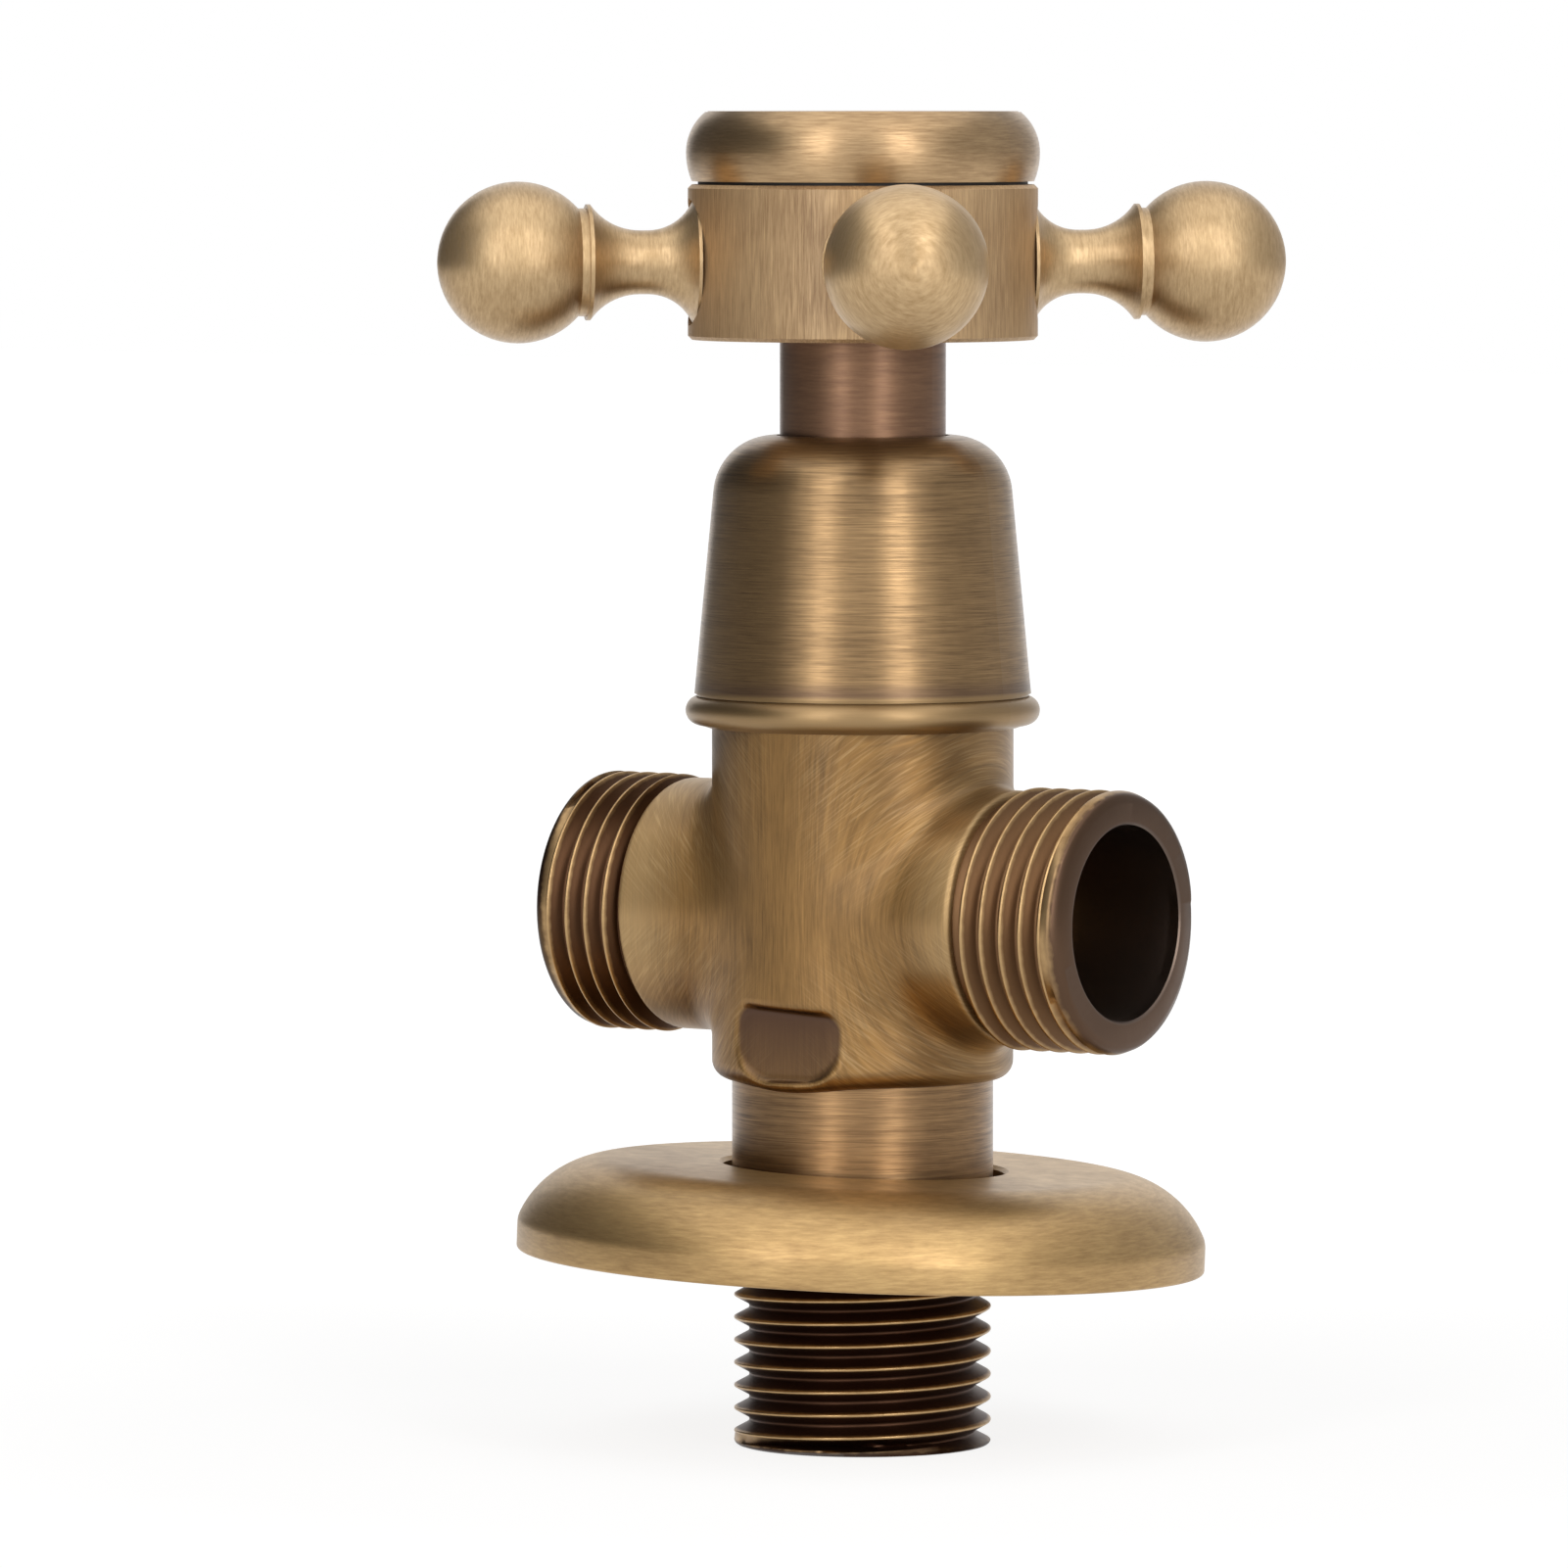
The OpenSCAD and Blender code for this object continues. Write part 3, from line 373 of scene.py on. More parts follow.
# VALVE BODY: the three pipe threads and the inlet's neck
# The neck is turned, and each G 1/2 thread is cut at 14 to the inch, its free end rounded off. The
# antique brown stays in its root and on its end, and handling has rubbed its crests bright. The
# brown of the roots is also painted shade in the grooves.
PITCH = 25.4 / 14
FLANK = math.radians(27.5)
CREST_ROUND = 0.15
ROOT_ROUND = 0.3
INLET_THREAD_R = 10.25
INLET_THREAD_END = 15.6
OUTLET_THREAD_R = 10.4
OUTLET_END_X = 25.0
INLET_CHAMFER = 0.45
OUTLET_CHAMFER = 1.0
LEFT_START = 0.39
OUTLET_MOUTH_R = 7.75
MOUTH_EDGE = 0.12
RUN_OUT = 0.8
RUN_OUT_DEPTH = 1.0
FILLED_END = 0.3
# The number of points in each ring of a turned or threaded mesh.
RING = 180
CREASE = math.radians(40)


def thread_rows():
    """(share of the pitch, depth under the crest) along one thread, from root to root."""
    # Angles over the crest's arc. At the last of them the flank starts.
    arc = [math.radians(a) for a in (0, 12, 26, 42, 62.5)]
    out = [(CREST_ROUND * math.sin(a), CREST_ROUND * (1 - math.cos(a))) for a in arc]
    depth = (PITCH / 2 / math.tan(FLANK)) - (CREST_ROUND + ROOT_ROUND) * (1 / math.sin(FLANK) - 1)
    back = [(PITCH / 2 - ROOT_ROUND * math.sin(a), depth - ROOT_ROUND * (1 - math.cos(a)))
            for a in reversed(arc[1::2] + [0])]
    side = out + sorted(back)
    rows = [(-s, d) for s, d in reversed(side[1:])] + side[:-1]
    return [(s / PITCH, d) for s, d in rows]


def threaded_tube(crest_r, root_end, free_end, bore_r, chamfer, start=0.0):
    """Points and quads of a threaded tube along Z. The thread is filled up and rounded off at its
    free end and runs out below its crest at the other, and start shifts it by a share of its
    pitch. Rows follow the helix, and those past an end fold into it."""
    rows = thread_rows()
    low, high = sorted((root_end, free_end))
    turns = int(math.ceil((high - low) / PITCH)) + 2
    phase = np.array([k + s for k in range(-1, turns) for s, _ in rows])
    depth = np.array([d for _ in range(-1, turns) for _, d in rows])
    share = np.arange(RING) / RING
    along = np.clip(low + (phase[:, None] + share[None, :] + start) * PITCH, low, high)
    radius = (crest_r - depth)[:, None] + 0 * along
    to_end = np.abs(along - free_end)
    filled = np.clip(1 - (to_end - chamfer) / FILLED_END, 0, 1)
    rounding = np.sqrt(np.maximum(chamfer ** 2 - np.maximum(chamfer - to_end, 0) ** 2, 0))
    radius = np.minimum(radius * (1 - filled) + crest_r * filled, crest_r - chamfer + rounding)
    run_out = np.clip(1 - np.abs(along - root_end) / RUN_OUT, 0, 1)
    radius = radius * (1 - run_out) + (crest_r - RUN_OUT_DEPTH) * run_out
    turn = share[None, :] * math.tau
    points = np.stack([radius * np.cos(turn), radius * np.sin(turn), along], -1).reshape(-1, 3)
    faces, n, shift = [], len(phase), len(rows)
    for i in range(n - 1):
        a = i * RING
        faces += [(a + j, a + j + 1, a + j + 1 + RING, a + j + RING) for j in range(RING - 1)]
        if i + 1 + shift < n:
            b = a + shift * RING
            faces.append((a + RING - 1, b, b + RING, a + 2 * RING - 1))
    rim = crest_r - chamfer
    inward = 1 if free_end < root_end else -1
    outline = [(crest_r - RUN_OUT_DEPTH, root_end), (bore_r, root_end),
               (bore_r, free_end + inward * MOUTH_EDGE), (bore_r + MOUTH_EDGE, free_end),
               (rim, free_end)]
    return [(points, faces), (lathe_points(outline), lathe_faces(len(outline)))]


def lathe_points(outline):
    """Rings of an outline of (radius, height) pairs turned about Z."""
    turn = np.arange(RING) / RING * math.tau
    return np.concatenate([np.stack([r * np.cos(turn), r * np.sin(turn), np.full(RING, z)], 1)
                           for r, z in outline])


def lathe_faces(rings, closed=False):
    """Quads between neighbouring rings."""
    faces = []
    for i in range(rings if closed else rings - 1):
        a, b = i * RING, (i + 1) % rings * RING
        faces += [(a + j, a + (j + 1) % RING, b + (j + 1) % RING, b + j) for j in range(RING)]
    return faces


def joined(parts):
    """One set of points and faces from several."""
    points, faces, first = [], [], 0
    for p, f in parts:
        points.append(p)
        faces += [tuple(k + first for k in face) for face in f]
        first += len(p)
    return np.concatenate(points), faces


def sealed(made):
    """Merges points that lie on each other, turns all faces outward and creases sharp edges."""
    work = bmesh.new()
    work.from_mesh(made.data)
    bmesh.ops.remove_doubles(work, verts=work.verts, dist=0.002 * MM)
    bmesh.ops.dissolve_degenerate(work, edges=work.edges, dist=0.001 * MM)
    bmesh.ops.recalc_face_normals(work, faces=work.faces)
    work.to_mesh(made.data)
    work.free()
    made.data.shade_smooth()
    made.data.set_sharp_from_angle(angle=CREASE)
    return made


def thread_brass(name, brown, end_brown, worn_end, along_x, bore_r, crest_r, chamfer, free_end):
    """Cut brass with the antique brown left in the roots and on its end, rubbed bright on the
    crests and in part on its first turn, by distance from the thread's own axis and from its end.
    The brown of the roots is also painted shade in the grooves.
    The wear wanders by up to 0.12 mm, in spots of 0.9 mm."""
    made, tree = blank(name)
    place = node(tree, "TexCoord").outputs["Object"]
    x, y, z = node(tree, "SeparateXYZ", {0: place}).outputs
    across = (x, y)
    if along_x:
        rise = node(tree, "Math", {0: z, 1: OUTLET_Z * MM}, operation="SUBTRACT").outputs[0]
        across = (y, rise)
    flat = node(tree, "CombineXYZ", {0: across[0], 1: across[1], 2: 0.0}).outputs[0]
    reach = node(tree, "VectorMath", {0: flat}, operation="LENGTH").outputs["Value"]
    spots = node(tree, "TexNoise", {"Vector": place, "Scale": 1 / (0.9 * MM),
                                    "Detail": 4.0}).outputs["Fac"]
    wobble = node(tree, "MapRange", {"Value": spots, "To Min": -0.12 * MM,
                                     "To Max": 0.12 * MM}).outputs[0]
    level = node(tree, "Math", {0: reach, 1: wobble}, operation="ADD").outputs[0]
    # Crests by radius: below them the brown stays, patina and a painted shade in the grooves.
    crest = node(tree, "MapRange", {"Value": level, "From Min": (crest_r - 0.3) * MM,
                                    "From Max": (crest_r + 0.02) * MM}).outputs[0]
    way = node(tree, "Math", {0: x if along_x else z}, operation="ABSOLUTE").outputs[0]
    left = node(tree, "Math", {0: way, 1: free_end * MM}, operation="SUBTRACT").outputs[0]
    left = node(tree, "Math", {0: left}, operation="ABSOLUTE").outputs[0]
    ragged = node(tree, "Math", {0: wobble, 1: 2.0, 2: left}, operation="MULTIPLY_ADD").outputs[0]
    start = node(tree, "MapRange", {"Value": ragged, "From Min": (chamfer + 0.15) * MM,
                                    "From Max": (chamfer - 0.15) * MM}).outputs[0]
    away = node(tree, "MapRange", {"Value": ragged, "From Min": chamfer * 0.45 * MM,
                                   "From Max": chamfer * 0.75 * MM}).outputs[0]
    rubbed = node(tree, "TexNoise", {"Vector": place, "Scale": 1 / (8 * MM),
                                     "Detail": 3.0}).outputs["Fac"]
    rubbed = node(tree, "MapRange", {"Value": rubbed, "From Min": 0.35, "From Max": 0.6,
                                     "To Max": worn_end}).outputs[0]
    share = node(tree, "Mix", {"Factor": start, "A": crest, "B": rubbed},
                 data_type="FLOAT").outputs[0]
    root = node(tree, "Mix", {"Factor": start, "A": linear(brown), "B": linear(end_brown)},
                data_type="RGBA").outputs[2]
    worn = node(tree, "Mix", {"Factor": share, "A": root, "B": linear("#b8986c")},
                data_type="RGBA").outputs[2]
    worn = node(tree, "Mix", {"Factor": away, "A": linear(end_brown), "B": worn},
                data_type="RGBA").outputs[2]
    depth = node(tree, "MapRange", {"Value": reach, "From Min": (bore_r + 0.05) * MM,
                                    "From Max": (bore_r + 0.3) * MM}).outputs[0]
    colour = node(tree, "Mix", {"Factor": depth, "A": linear("#675950"), "B": worn},
                  data_type="RGBA").outputs[2]
    rough = node(tree, "MapRange", {"Value": share, "To Min": 0.42, "To Max": 0.3}).outputs[0]
    relief = node(tree, "Bump", {"Height": spots, "Strength": 0.3,
                                 "Distance": 0.03 * MM}).outputs[0]
    shader = node(tree, "BsdfPrincipled", {"Base Color": colour, "Metallic": 1.0,
                                           "Roughness": rough, "Normal": relief})
    node(tree, "OutputMaterial", {"Surface": shader.outputs[0]})
    return made


# Antique brass, thread cut: dark brown grooves, patina and painted shade, between thin bright
# crests, darkest at the inlet.
inlet_brass = thread_brass("antique_brass_thread_inlet", "#4a3326", "#3b291e", worn_end=0.2,
                           along_x=False, bore_r=INLET_BORE_R, crest_r=INLET_THREAD_R,
                           chamfer=INLET_CHAMFER, free_end=0)
points, faces = joined(threaded_tube(INLET_THREAD_R, INLET_THREAD_END, 0, INLET_BORE_R,
                                     INLET_CHAMFER))
sealed(piece("inlet_thread", points, faces, "valve", inlet_brass))
for side, sign, root_x, start, brown, end_brown, worn_end in (
        ("right", 1, OUTLET_ROOT_RIGHT, 0, "#6d5138", "#5b4637", 1.0),
        ("left", -1, OUTLET_ROOT_LEFT, LEFT_START, "#5a402d", "#3d2c22", 0.15)):
    outlet_brass = thread_brass("antique_brass_thread_" + side, brown, end_brown, worn_end,
                                along_x=True, bore_r=OUTLET_MOUTH_R, crest_r=OUTLET_THREAD_R,
                                chamfer=OUTLET_CHAMFER, free_end=OUTLET_END_X)
    tube, faces = joined(threaded_tube(OUTLET_THREAD_R, root_x, OUTLET_END_X, OUTLET_MOUTH_R,
                                       OUTLET_CHAMFER, start))
    points = np.stack([tube[:, 2] * sign, tube[:, 1] * sign, tube[:, 0] + OUTLET_Z], 1)
    sealed(piece("outlet_thread_" + side, points, faces, "valve", outlet_brass))

NECK_R = 10.41
NECK_EDGE = 0.1
NECK_LAP_Z = SHOULDER_Z + 0.9
UPRIGHT = (0, 0, 1)
# Antique brass, turned: fine rings round the neck, and highlights that stand upright.
neck_brass = brushed_brass("antique_brass_turned", "#b08c61", "#5c432b", (4, 4, 0.1),
                           (0.3, 0.44), bump=0.35, axis=UPRIGHT)
neck_outline = [(NECK_R - NECK_EDGE, INLET_THREAD_END), (NECK_R, INLET_THREAD_END + NECK_EDGE),
                (NECK_R, NECK_LAP_Z), (INLET_BORE_R, NECK_LAP_Z), (INLET_BORE_R, INLET_THREAD_END)]
sealed(piece("inlet_neck", lathe_points(neck_outline), lathe_faces(len(neck_outline), closed=True),
             "valve", neck_brass))

# SEAT AND HEADPART: seal, lower disc, housing and gasket, held inside the barrel
# The headpart is turned from bar brass and left bare, with a lapped alumina disc keyed in its end.
# It clamps a rubber ring on the seat, and a red fibre ring seals its flange on the barrel's top.


def plain_finish(name, colour, shade, metallic, rough, grain_mm, bump, ior=1.5):
    """A finish with clouds 4 mm wide in its colour and gloss and a fine grain in its relief."""
    made, tree = blank(name)
    place = node(tree, "TexCoord").outputs["Object"]
    cloud = node(tree, "TexNoise", {"Vector": place, "Scale": 1 / (4 * MM),
                                    "Detail": 3.0}).outputs["Fac"]
    grain = node(tree, "TexNoise", {"Vector": place, "Scale": 1 / (grain_mm * MM),
                                    "Detail": 2.0}).outputs["Fac"]
    tone = node(tree, "Mix", {"Factor": cloud, "A": linear(shade), "B": linear(colour)},
                data_type="RGBA").outputs[2]
    gloss = node(tree, "MapRange", {"Value": cloud, "To Min": rough[0],
                                    "To Max": rough[1]}).outputs[0]
    relief = node(tree, "Bump", {"Height": grain, "Strength": bump,
                                 "Distance": 0.03 * MM}).outputs[0]
    shader = node(tree, "BsdfPrincipled", {"Base Color": tone, "Metallic": metallic,
                                           "Roughness": gloss, "Normal": relief})
    if not metallic:
        shader.inputs["IOR"].default_value = ior
    node(tree, "OutputMaterial", {"Surface": shader.outputs[0]})
    return made


def dress(name, finish):
    """Gives a CAD node its finish."""
    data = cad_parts[name].data
    data.materials.clear()
    data.materials.append(finish)


# Moulded black rubber: dull, with wide faint highlights.
moulded_rubber = plain_finish("moulded_rubber_black", "#2a2a2a", "#1c1c1c", metallic=0.0,
                              rough=(0.5, 0.7), grain_mm=0.2, bump=0.2, ior=1.52)
# Lapped alumina: white, and nearly as smooth as glass.
lapped_ceramic = plain_finish("lapped_alumina_ceramic", "#f1efe9", "#e6e3da", metallic=0.0,
                              rough=(0.12, 0.2), grain_mm=0.08, bump=0.03, ior=1.76)
# Turned bar brass, left bare: yellow and bright.
bar_brass = plain_finish("turned_bar_brass", "#e2c284", "#c9a765", metallic=1.0,
                         rough=(0.2, 0.34), grain_mm=0.12, bump=0.1)
# Pressed red fibre: matt and a little rough.
red_fibre = plain_finish("pressed_red_fibre", "#8a3f2c", "#6f3023", metallic=0.0,
                         rough=(0.7, 0.85), grain_mm=0.25, bump=0.4, ior=1.48)
for name, finish in (("seat_seal", moulded_rubber), ("fixed_disc", lapped_ceramic),
                     ("headpart_housing", bar_brass), ("headpart_gasket", red_fibre)):
    dress(name, finish)

# BONNET
# A bell turned from brass tube, with a round bead at its rim, screwed down over the barrel's top.
# It was brushed while it spun, so that its marks run round it and its highlights stand upright.
BEAD_TOP_Z = 60.2


def bead_mask(tree, place):
    """Most of the way to one on the bead at the rim, which handling has rubbed brighter."""
    z = node(tree, "SeparateXYZ", {0: place}).outputs[2]
    return node(tree, "MapRange", {"Value": z, "From Min": (BEAD_TOP_Z + 0.15) * MM,
                                   "From Max": (BEAD_TOP_Z - 0.15) * MM, "To Max": 0.6}).outputs[0]


def shadow_mask(tree, place):
    """High just over the bead, a painted shade there, fading out upwards."""
    z = node(tree, "SeparateXYZ", {0: place}).outputs[2]
    return node(tree, "MapRange", {"Value": z, "From Min": (BEAD_TOP_Z + 1.6) * MM,
                                   "From Max": (BEAD_TOP_Z + 0.2) * MM, "To Max": 0.6},
                interpolation_type="SMOOTHSTEP").outputs[0]


# Antique brass, brushed as it spun: brown gold rings and tall soft highlights, a painted shade over
# the bead, and paler on it.
bonnet_brass = brushed_brass("antique_brass_spun_bonnet", "#b08f64", "#5c462e", (4, 4, 0.1),
                             (0.3, 0.44), bump=0.35, axis=UPRIGHT,
                             bare=[(shadow_mask, "#5c463a", 0.45), (bead_mask, "#b09264", 0.46)])
dress("bonnet", bonnet_brass)

# SPINDLE AND ITS RINGS
# The spindle is turned from brass, with a driving foot, a splined end and two rubber O-rings. It
# turns the upper ceramic disc against a slip ring, and an open steel clip keeps it in its housing.

# Turned slip plastic: waxy and off white.
slip_plastic = plain_finish("turned_slip_plastic", "#eeece4", "#dedbd0", metallic=0.0,
                            rough=(0.4, 0.5), grain_mm=0.3, bump=0.1, ior=1.38)
# Zinc plated steel: light grey and cool, with a soft shine.
zinc_steel = plain_finish("zinc_plated_steel", "#c9cbd0", "#b0b3ba", metallic=1.0,
                          rough=(0.25, 0.4), grain_mm=0.15, bump=0.1)
for name, finish in (("spindle", bar_brass), ("moving_disc", lapped_ceramic),
                     ("thrust_ring", slip_plastic), ("spindle_o_ring_lower", moulded_rubber),
                     ("spindle_o_ring_upper", moulded_rubber), ("stop_ring", bar_brass),
                     ("spindle_clip", zinc_steel)):
    dress(name, finish)

# HANDLE SLEEVE
# A turned brass sleeve, broached inside for the spline and pressed into the hub. It was antiqued
# but hardly brushed back, so that it stays browner and smoother than the hub.

# Antique brass, left smooth: rosy brown, with clear highlights and hardly a mark.
sleeve_brass = brushed_brass("antique_brass_smooth_sleeve", "#86654b", "#644836", (2.5, 2.5, 0.2),
                             (0.34, 0.42), bump=0.1)
dress("handle_skirt", sleeve_brass)

# HANDLE HUB
# A turned brass drum with four spot faces for the arms. It was brushed along its axis, so that its
# marks stand upright.

# Antique brass, brushed along its axis: fine upright streaks, which spread the light sideways.
hub_brass = brushed_brass("antique_brass_upright_brushed", "#cdae84", "#87694a", (0.13, 0.13, 2.5),
                          (0.42, 0.55), bump=0.3, axis=UPRIGHT, along=True, spread=0.8)
dress("handle_hub", hub_brass)

# HANDLE ARMS
# Four arms, each turned in one piece with its ball, ring and flared foot, and screwed into the hub.
# They were polished on the lathe, so that the marks run round each arm's own axis.
ARM_TURN = math.radians(41)
ARM_Z = 94.25
# Antique brass, polished on the lathe: pale gold, with faint marks round each arm.
for pair, names, turned in (("cross", ("right", "left"), 0.0),
                            ("along", ("front", "rear"), math.pi / 2)):
    way = ARM_TURN - turned
    finish = brushed_brass("antique_brass_turned_arm_" + pair, "#ceb188", "#a0835b",
                           (0.14, 0.9, 0.9), (0.36, 0.5), turn=(0, 0, -way),
                           axis=(math.cos(way), math.sin(way), 0), centre=(0, 0, ARM_Z))
    for name in names:
        dress("handle_arm_" + name, finish)

# HANDLE SCREW, WASHER, CAP SEAL AND CAP
# A plated steel screw and washer hold the handle on the spline. The brass cap screws in over them
# on a thin rubber ring, which shows as a black line, and its rounded side was brushed as it spun.
dress("handle_screw", zinc_steel)
dress("screw_washer", zinc_steel)
dress("cap_seal", moulded_rubber)
# Antique brass, brushed as it spun: fine rings round its side, with bright bars across them.
cap_brass = brushed_brass("antique_brass_spun_cap", "#c3a47b", "#8b6f4e", (1.8, 1.8, 0.14),
                          (0.32, 0.44), axis=UPRIGHT)
dress("index_cap", cap_brass)

# WALL PLATE
# A round plate pressed from brass sheet with a turned collar, brushed all over. A rubber ring in
# the collar grips the neck loosely, so that the plate stays where it is pushed, leaning a little.
PLATE_R = 27.45
PLATE_TOP_Z = 22.25
PLATE_Z = 14.75
PLATE_ROUND = 8.0
PLATE_FLAT_R = 20.0
PLATE_EDGE = 2.0
PLATE_RIM = 0.25
PLATE_WALL = 1.4
PLATE_LIP = 1.5
PLATE_HOLE_R = 11.26
HOLE_EDGE = 0.3
GROOVE_R = 12.24
GROOVE_Z = (18.4, 20.3)
COLLAR_R = 13.14
COLLAR_Z = 17.4
PLATE_LEAN = math.radians(2.2)
PLATE_LEAN_TURN = math.radians(34)


def arc(centre, radius, first, last, steps):
    """Points of an arc between two angles in degrees."""
    return [(centre[0] + radius * math.cos(a), centre[1] + radius * math.sin(a))
            for a in np.radians(np.linspace(first, last, steps))]


shoulder = (PLATE_FLAT_R, PLATE_TOP_Z - PLATE_ROUND)
edge_rise = math.sqrt((PLATE_ROUND - PLATE_EDGE) ** 2 - (PLATE_R - PLATE_EDGE - PLATE_FLAT_R) ** 2)
edge = (PLATE_R - PLATE_EDGE, shoulder[1] + edge_rise)
meet = math.degrees(math.atan2(edge_rise, edge[0] - shoulder[0]))
plate_outline = [(PLATE_HOLE_R, PLATE_TOP_Z - HOLE_EDGE), (PLATE_HOLE_R + HOLE_EDGE, PLATE_TOP_Z)]
plate_outline += arc(shoulder, PLATE_ROUND, 90, meet, 24) + arc(edge, PLATE_EDGE, meet, 0, 8)[1:]
plate_outline += arc((PLATE_R - PLATE_RIM, PLATE_Z + PLATE_RIM), PLATE_RIM, 0, -90, 5)
inside_r = PLATE_R - PLATE_WALL
plate_outline += [(inside_r, PLATE_Z), (inside_r, PLATE_Z + PLATE_LIP)]
plate_outline += [p for p in arc(shoulder, PLATE_ROUND - PLATE_WALL, 20, 90, 16) if p[0] < inside_r]
plate_outline += [(COLLAR_R, PLATE_TOP_Z - PLATE_WALL), (COLLAR_R, COLLAR_Z),
                  (PLATE_HOLE_R, COLLAR_Z), (PLATE_HOLE_R, GROOVE_Z[0]), (GROOVE_R, GROOVE_Z[0]),
                  (GROOVE_R, GROOVE_Z[1]), (PLATE_HOLE_R, GROOVE_Z[1])]
hinge = (math.sin(PLATE_LEAN_TURN), -math.cos(PLATE_LEAN_TURN), 0)
lean = np.array(Matrix.Rotation(-PLATE_LEAN, 3, hinge))
pivot = np.array([0, 0, sum(GROOVE_Z) / 2])
points = (lathe_points(plate_outline) - pivot) @ lean.T + pivot
# Antique brass, brushed by hand: pale gold with level marks and a wide soft shine.
plate_brass = brushed_brass("antique_brass_brushed_plate", "#cba973", "#9c7c51", (1.6, 1.6, 0.18),
                            (0.4, 0.5))
sealed(piece("wall_plate_pressed", points, lathe_faces(len(plate_outline), closed=True),
             "wall_plate", plate_brass, replaced=["escutcheon"]))
dress("grip_ring", moulded_rubber)

# STUDIO
# A white floor in a pale room, with two tall softboxes in front, a broad one overhead and a grey
# card on either side, which only metal mirrors. The camera stands at the photograph's angle, with
# a long lens.
VIEW_TURN = math.radians(34)
DISTANCE = 950
CAMERA_Z = 108.8
PIXELS = 1601
SCALE = 12.85
AXIS_PIXEL = 881
FOOT_PIXEL = 1478
AIM_Z = 60
CARD_REACH = 700
CARD_SIZE = (1700, 900)
FLOOR_SIZE = 6000


def around(turn_deg, reach, z):
    """A point in millimetres at an angle to the camera's side, counted towards the right."""
    a = VIEW_TURN + math.radians(turn_deg)
    return Vector((math.sin(a) * reach, -math.cos(a) * reach, z))


def softbox(name, turn_deg, reach, z, size, watts):
    """A softbox aimed at the middle of the valve."""
    data = bpy.data.lights.new(name, "AREA")
    data.shape = "RECTANGLE"
    data.size, data.size_y = size[0] * MM, size[1] * MM
    data.energy = watts
    made = bpy.data.objects.new(name, data)
    place = around(turn_deg, reach, z)
    made.location = place * MM
    made.rotation_euler = (Vector((0, 0, AIM_Z)) - place).to_track_quat("-Z", "Y").to_euler()
    bpy.context.scene.collection.objects.link(made)


softbox("softbox_front_left", -29, 900, 330, (220, 1100), 2.5)
softbox("softbox_front_right", 27, 900, 330, (240, 1100), 3.1)
softbox("softbox_overhead", 10, 250, 1150, (1900, 1500), 5.0)


def upright_card(name, turn_deg, tone):
    """A grey card beside the valve, out of the picture, which gives the brass its darker sides."""
    half, high = CARD_SIZE[0] / 2 * MM, CARD_SIZE[1] * MM
    mesh = bpy.data.meshes.new(name)
    mesh.from_pydata([(-half, 0, 0), (half, 0, 0), (half, 0, high), (-half, 0, high)], [],
                     [(0, 1, 2, 3)])
    grey, tree = blank(name)
    shine = node(tree, "Emission", {"Color": (1, 1, 1, 1), "Strength": tone})
    node(tree, "OutputMaterial", {"Surface": shine.outputs[0]})
    mesh.materials.append(grey)
    made = bpy.data.objects.new(name, mesh)
    made.location = around(turn_deg, CARD_REACH, 0) * MM
    made.rotation_euler.z = VIEW_TURN + math.radians(turn_deg)
    made.visible_camera = made.visible_diffuse = False
    made.visible_transmission = made.visible_shadow = False
    bpy.context.scene.collection.objects.link(made)


upright_card("flag_left", -105, 0.1)
upright_card("flag_right", 104, 0.55)


def in_sight(tree):
    """One for the rays of the camera, and for those that metal or glass sends on."""
    path = node(tree, "LightPath").outputs
    shown = path["Is Camera Ray"]
    for kind in ("Is Glossy Ray", "Is Transmission Ray"):
        shown = node(tree, "Math", {0: shown, 1: path[kind]}, operation="MAXIMUM").outputs[0]
    return shown


world = bpy.data.worlds.new("studio_room")
bpy.context.scene.world = world
world.use_nodes = True
tree = world.node_tree
tree.nodes.clear()
seen = in_sight(tree)
room = node(tree, "Background", {"Color": linear("#d8d4cf"), "Strength": 0.22})
pale = node(tree, "Background", {"Color": (1, 1, 1, 1), "Strength": 1.0})
sky = node(tree, "MixShader", {0: seen, 1: room.outputs[0], 2: pale.outputs[0]})
node(tree, "OutputWorld", {"Surface": sky.outputs[0]})

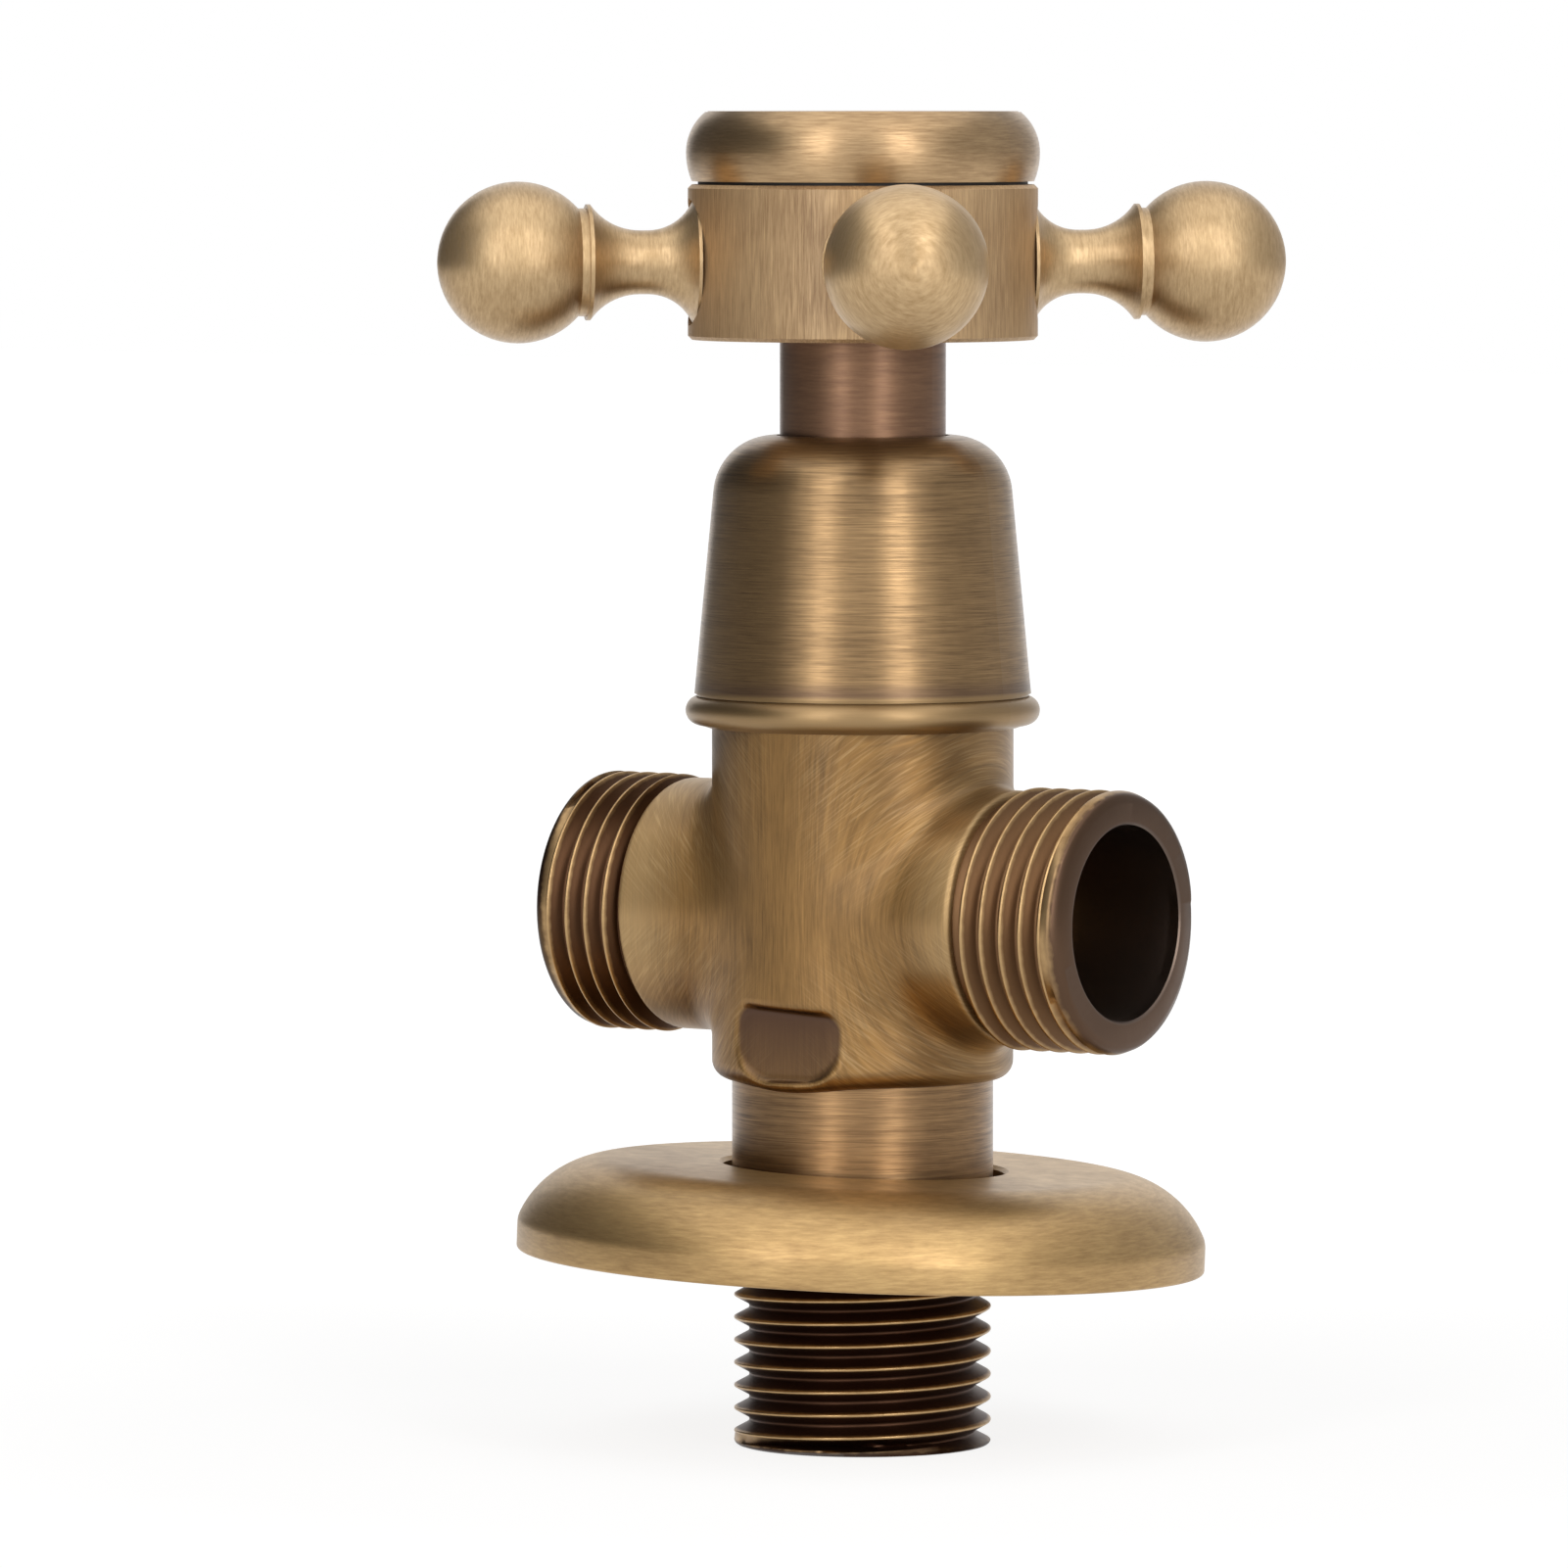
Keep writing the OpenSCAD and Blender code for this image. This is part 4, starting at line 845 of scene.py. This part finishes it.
# A white card for a floor. It lights the valve as a plain card does, and is shown as light as the
# room but for the valve's soft shadow.
floor_mesh = bpy.data.meshes.new("studio_floor")
half = FLOOR_SIZE / 2 * MM
floor_mesh.from_pydata([(-half, -half, 0), (half, -half, 0), (half, half, 0), (-half, half, 0)], [],
                       [(0, 1, 2, 3)])
floor = bpy.data.objects.new("studio_floor", floor_mesh)
bpy.context.scene.collection.objects.link(floor)
floor.location.z = -0.02 * MM
white, tree = blank("white_table")
seen = in_sight(tree)
card = node(tree, "BsdfDiffuse", {"Color": linear("#f2f2f2")})
place = node(tree, "TexCoord").outputs["Object"]
reach = node(tree, "VectorMath", {0: place}, operation="LENGTH").outputs["Value"]
lit = node(tree, "MapRange", {"Value": reach, "From Min": 60 * MM, "From Max": 300 * MM,
                              "To Min": 0.86, "To Max": 1.0}).outputs[0]
glow = node(tree, "Emission", {"Color": (1, 1, 1, 1), "Strength": lit})
thin = node(tree, "BsdfDiffuse", {"Color": (0.25, 0.25, 0.25, 1)})
bright = node(tree, "AddShader", {0: glow.outputs[0], 1: thin.outputs[0]})
table = node(tree, "MixShader", {0: seen, 1: card.outputs[0], 2: bright.outputs[0]})
node(tree, "OutputMaterial", {"Surface": table.outputs[0]})
floor_mesh.materials.append(white)

centre_z = (FOOT_PIXEL - PIXELS / 2) / SCALE
aside = (PIXELS / 2 - AXIS_PIXEL) / SCALE
right = Vector((math.cos(VIEW_TURN), math.sin(VIEW_TURN), 0))
stand = around(0, DISTANCE, CAMERA_Z)
target = right * aside + Vector((0, 0, centre_z))
lens = bpy.data.cameras.new("camera")
lens.sensor_width = 36
lens.lens = SCALE * DISTANCE / PIXELS * lens.sensor_width
lens.clip_start, lens.clip_end = 10 * MM, 20000 * MM
camera = bpy.data.objects.new("camera", lens)
bpy.context.scene.collection.objects.link(camera)
camera.location = stand * MM
camera.rotation_euler = (target - stand).to_track_quat("-Z", "Y").to_euler()
bpy.context.scene.camera = camera
bpy.context.scene.view_settings.view_transform = "Standard"
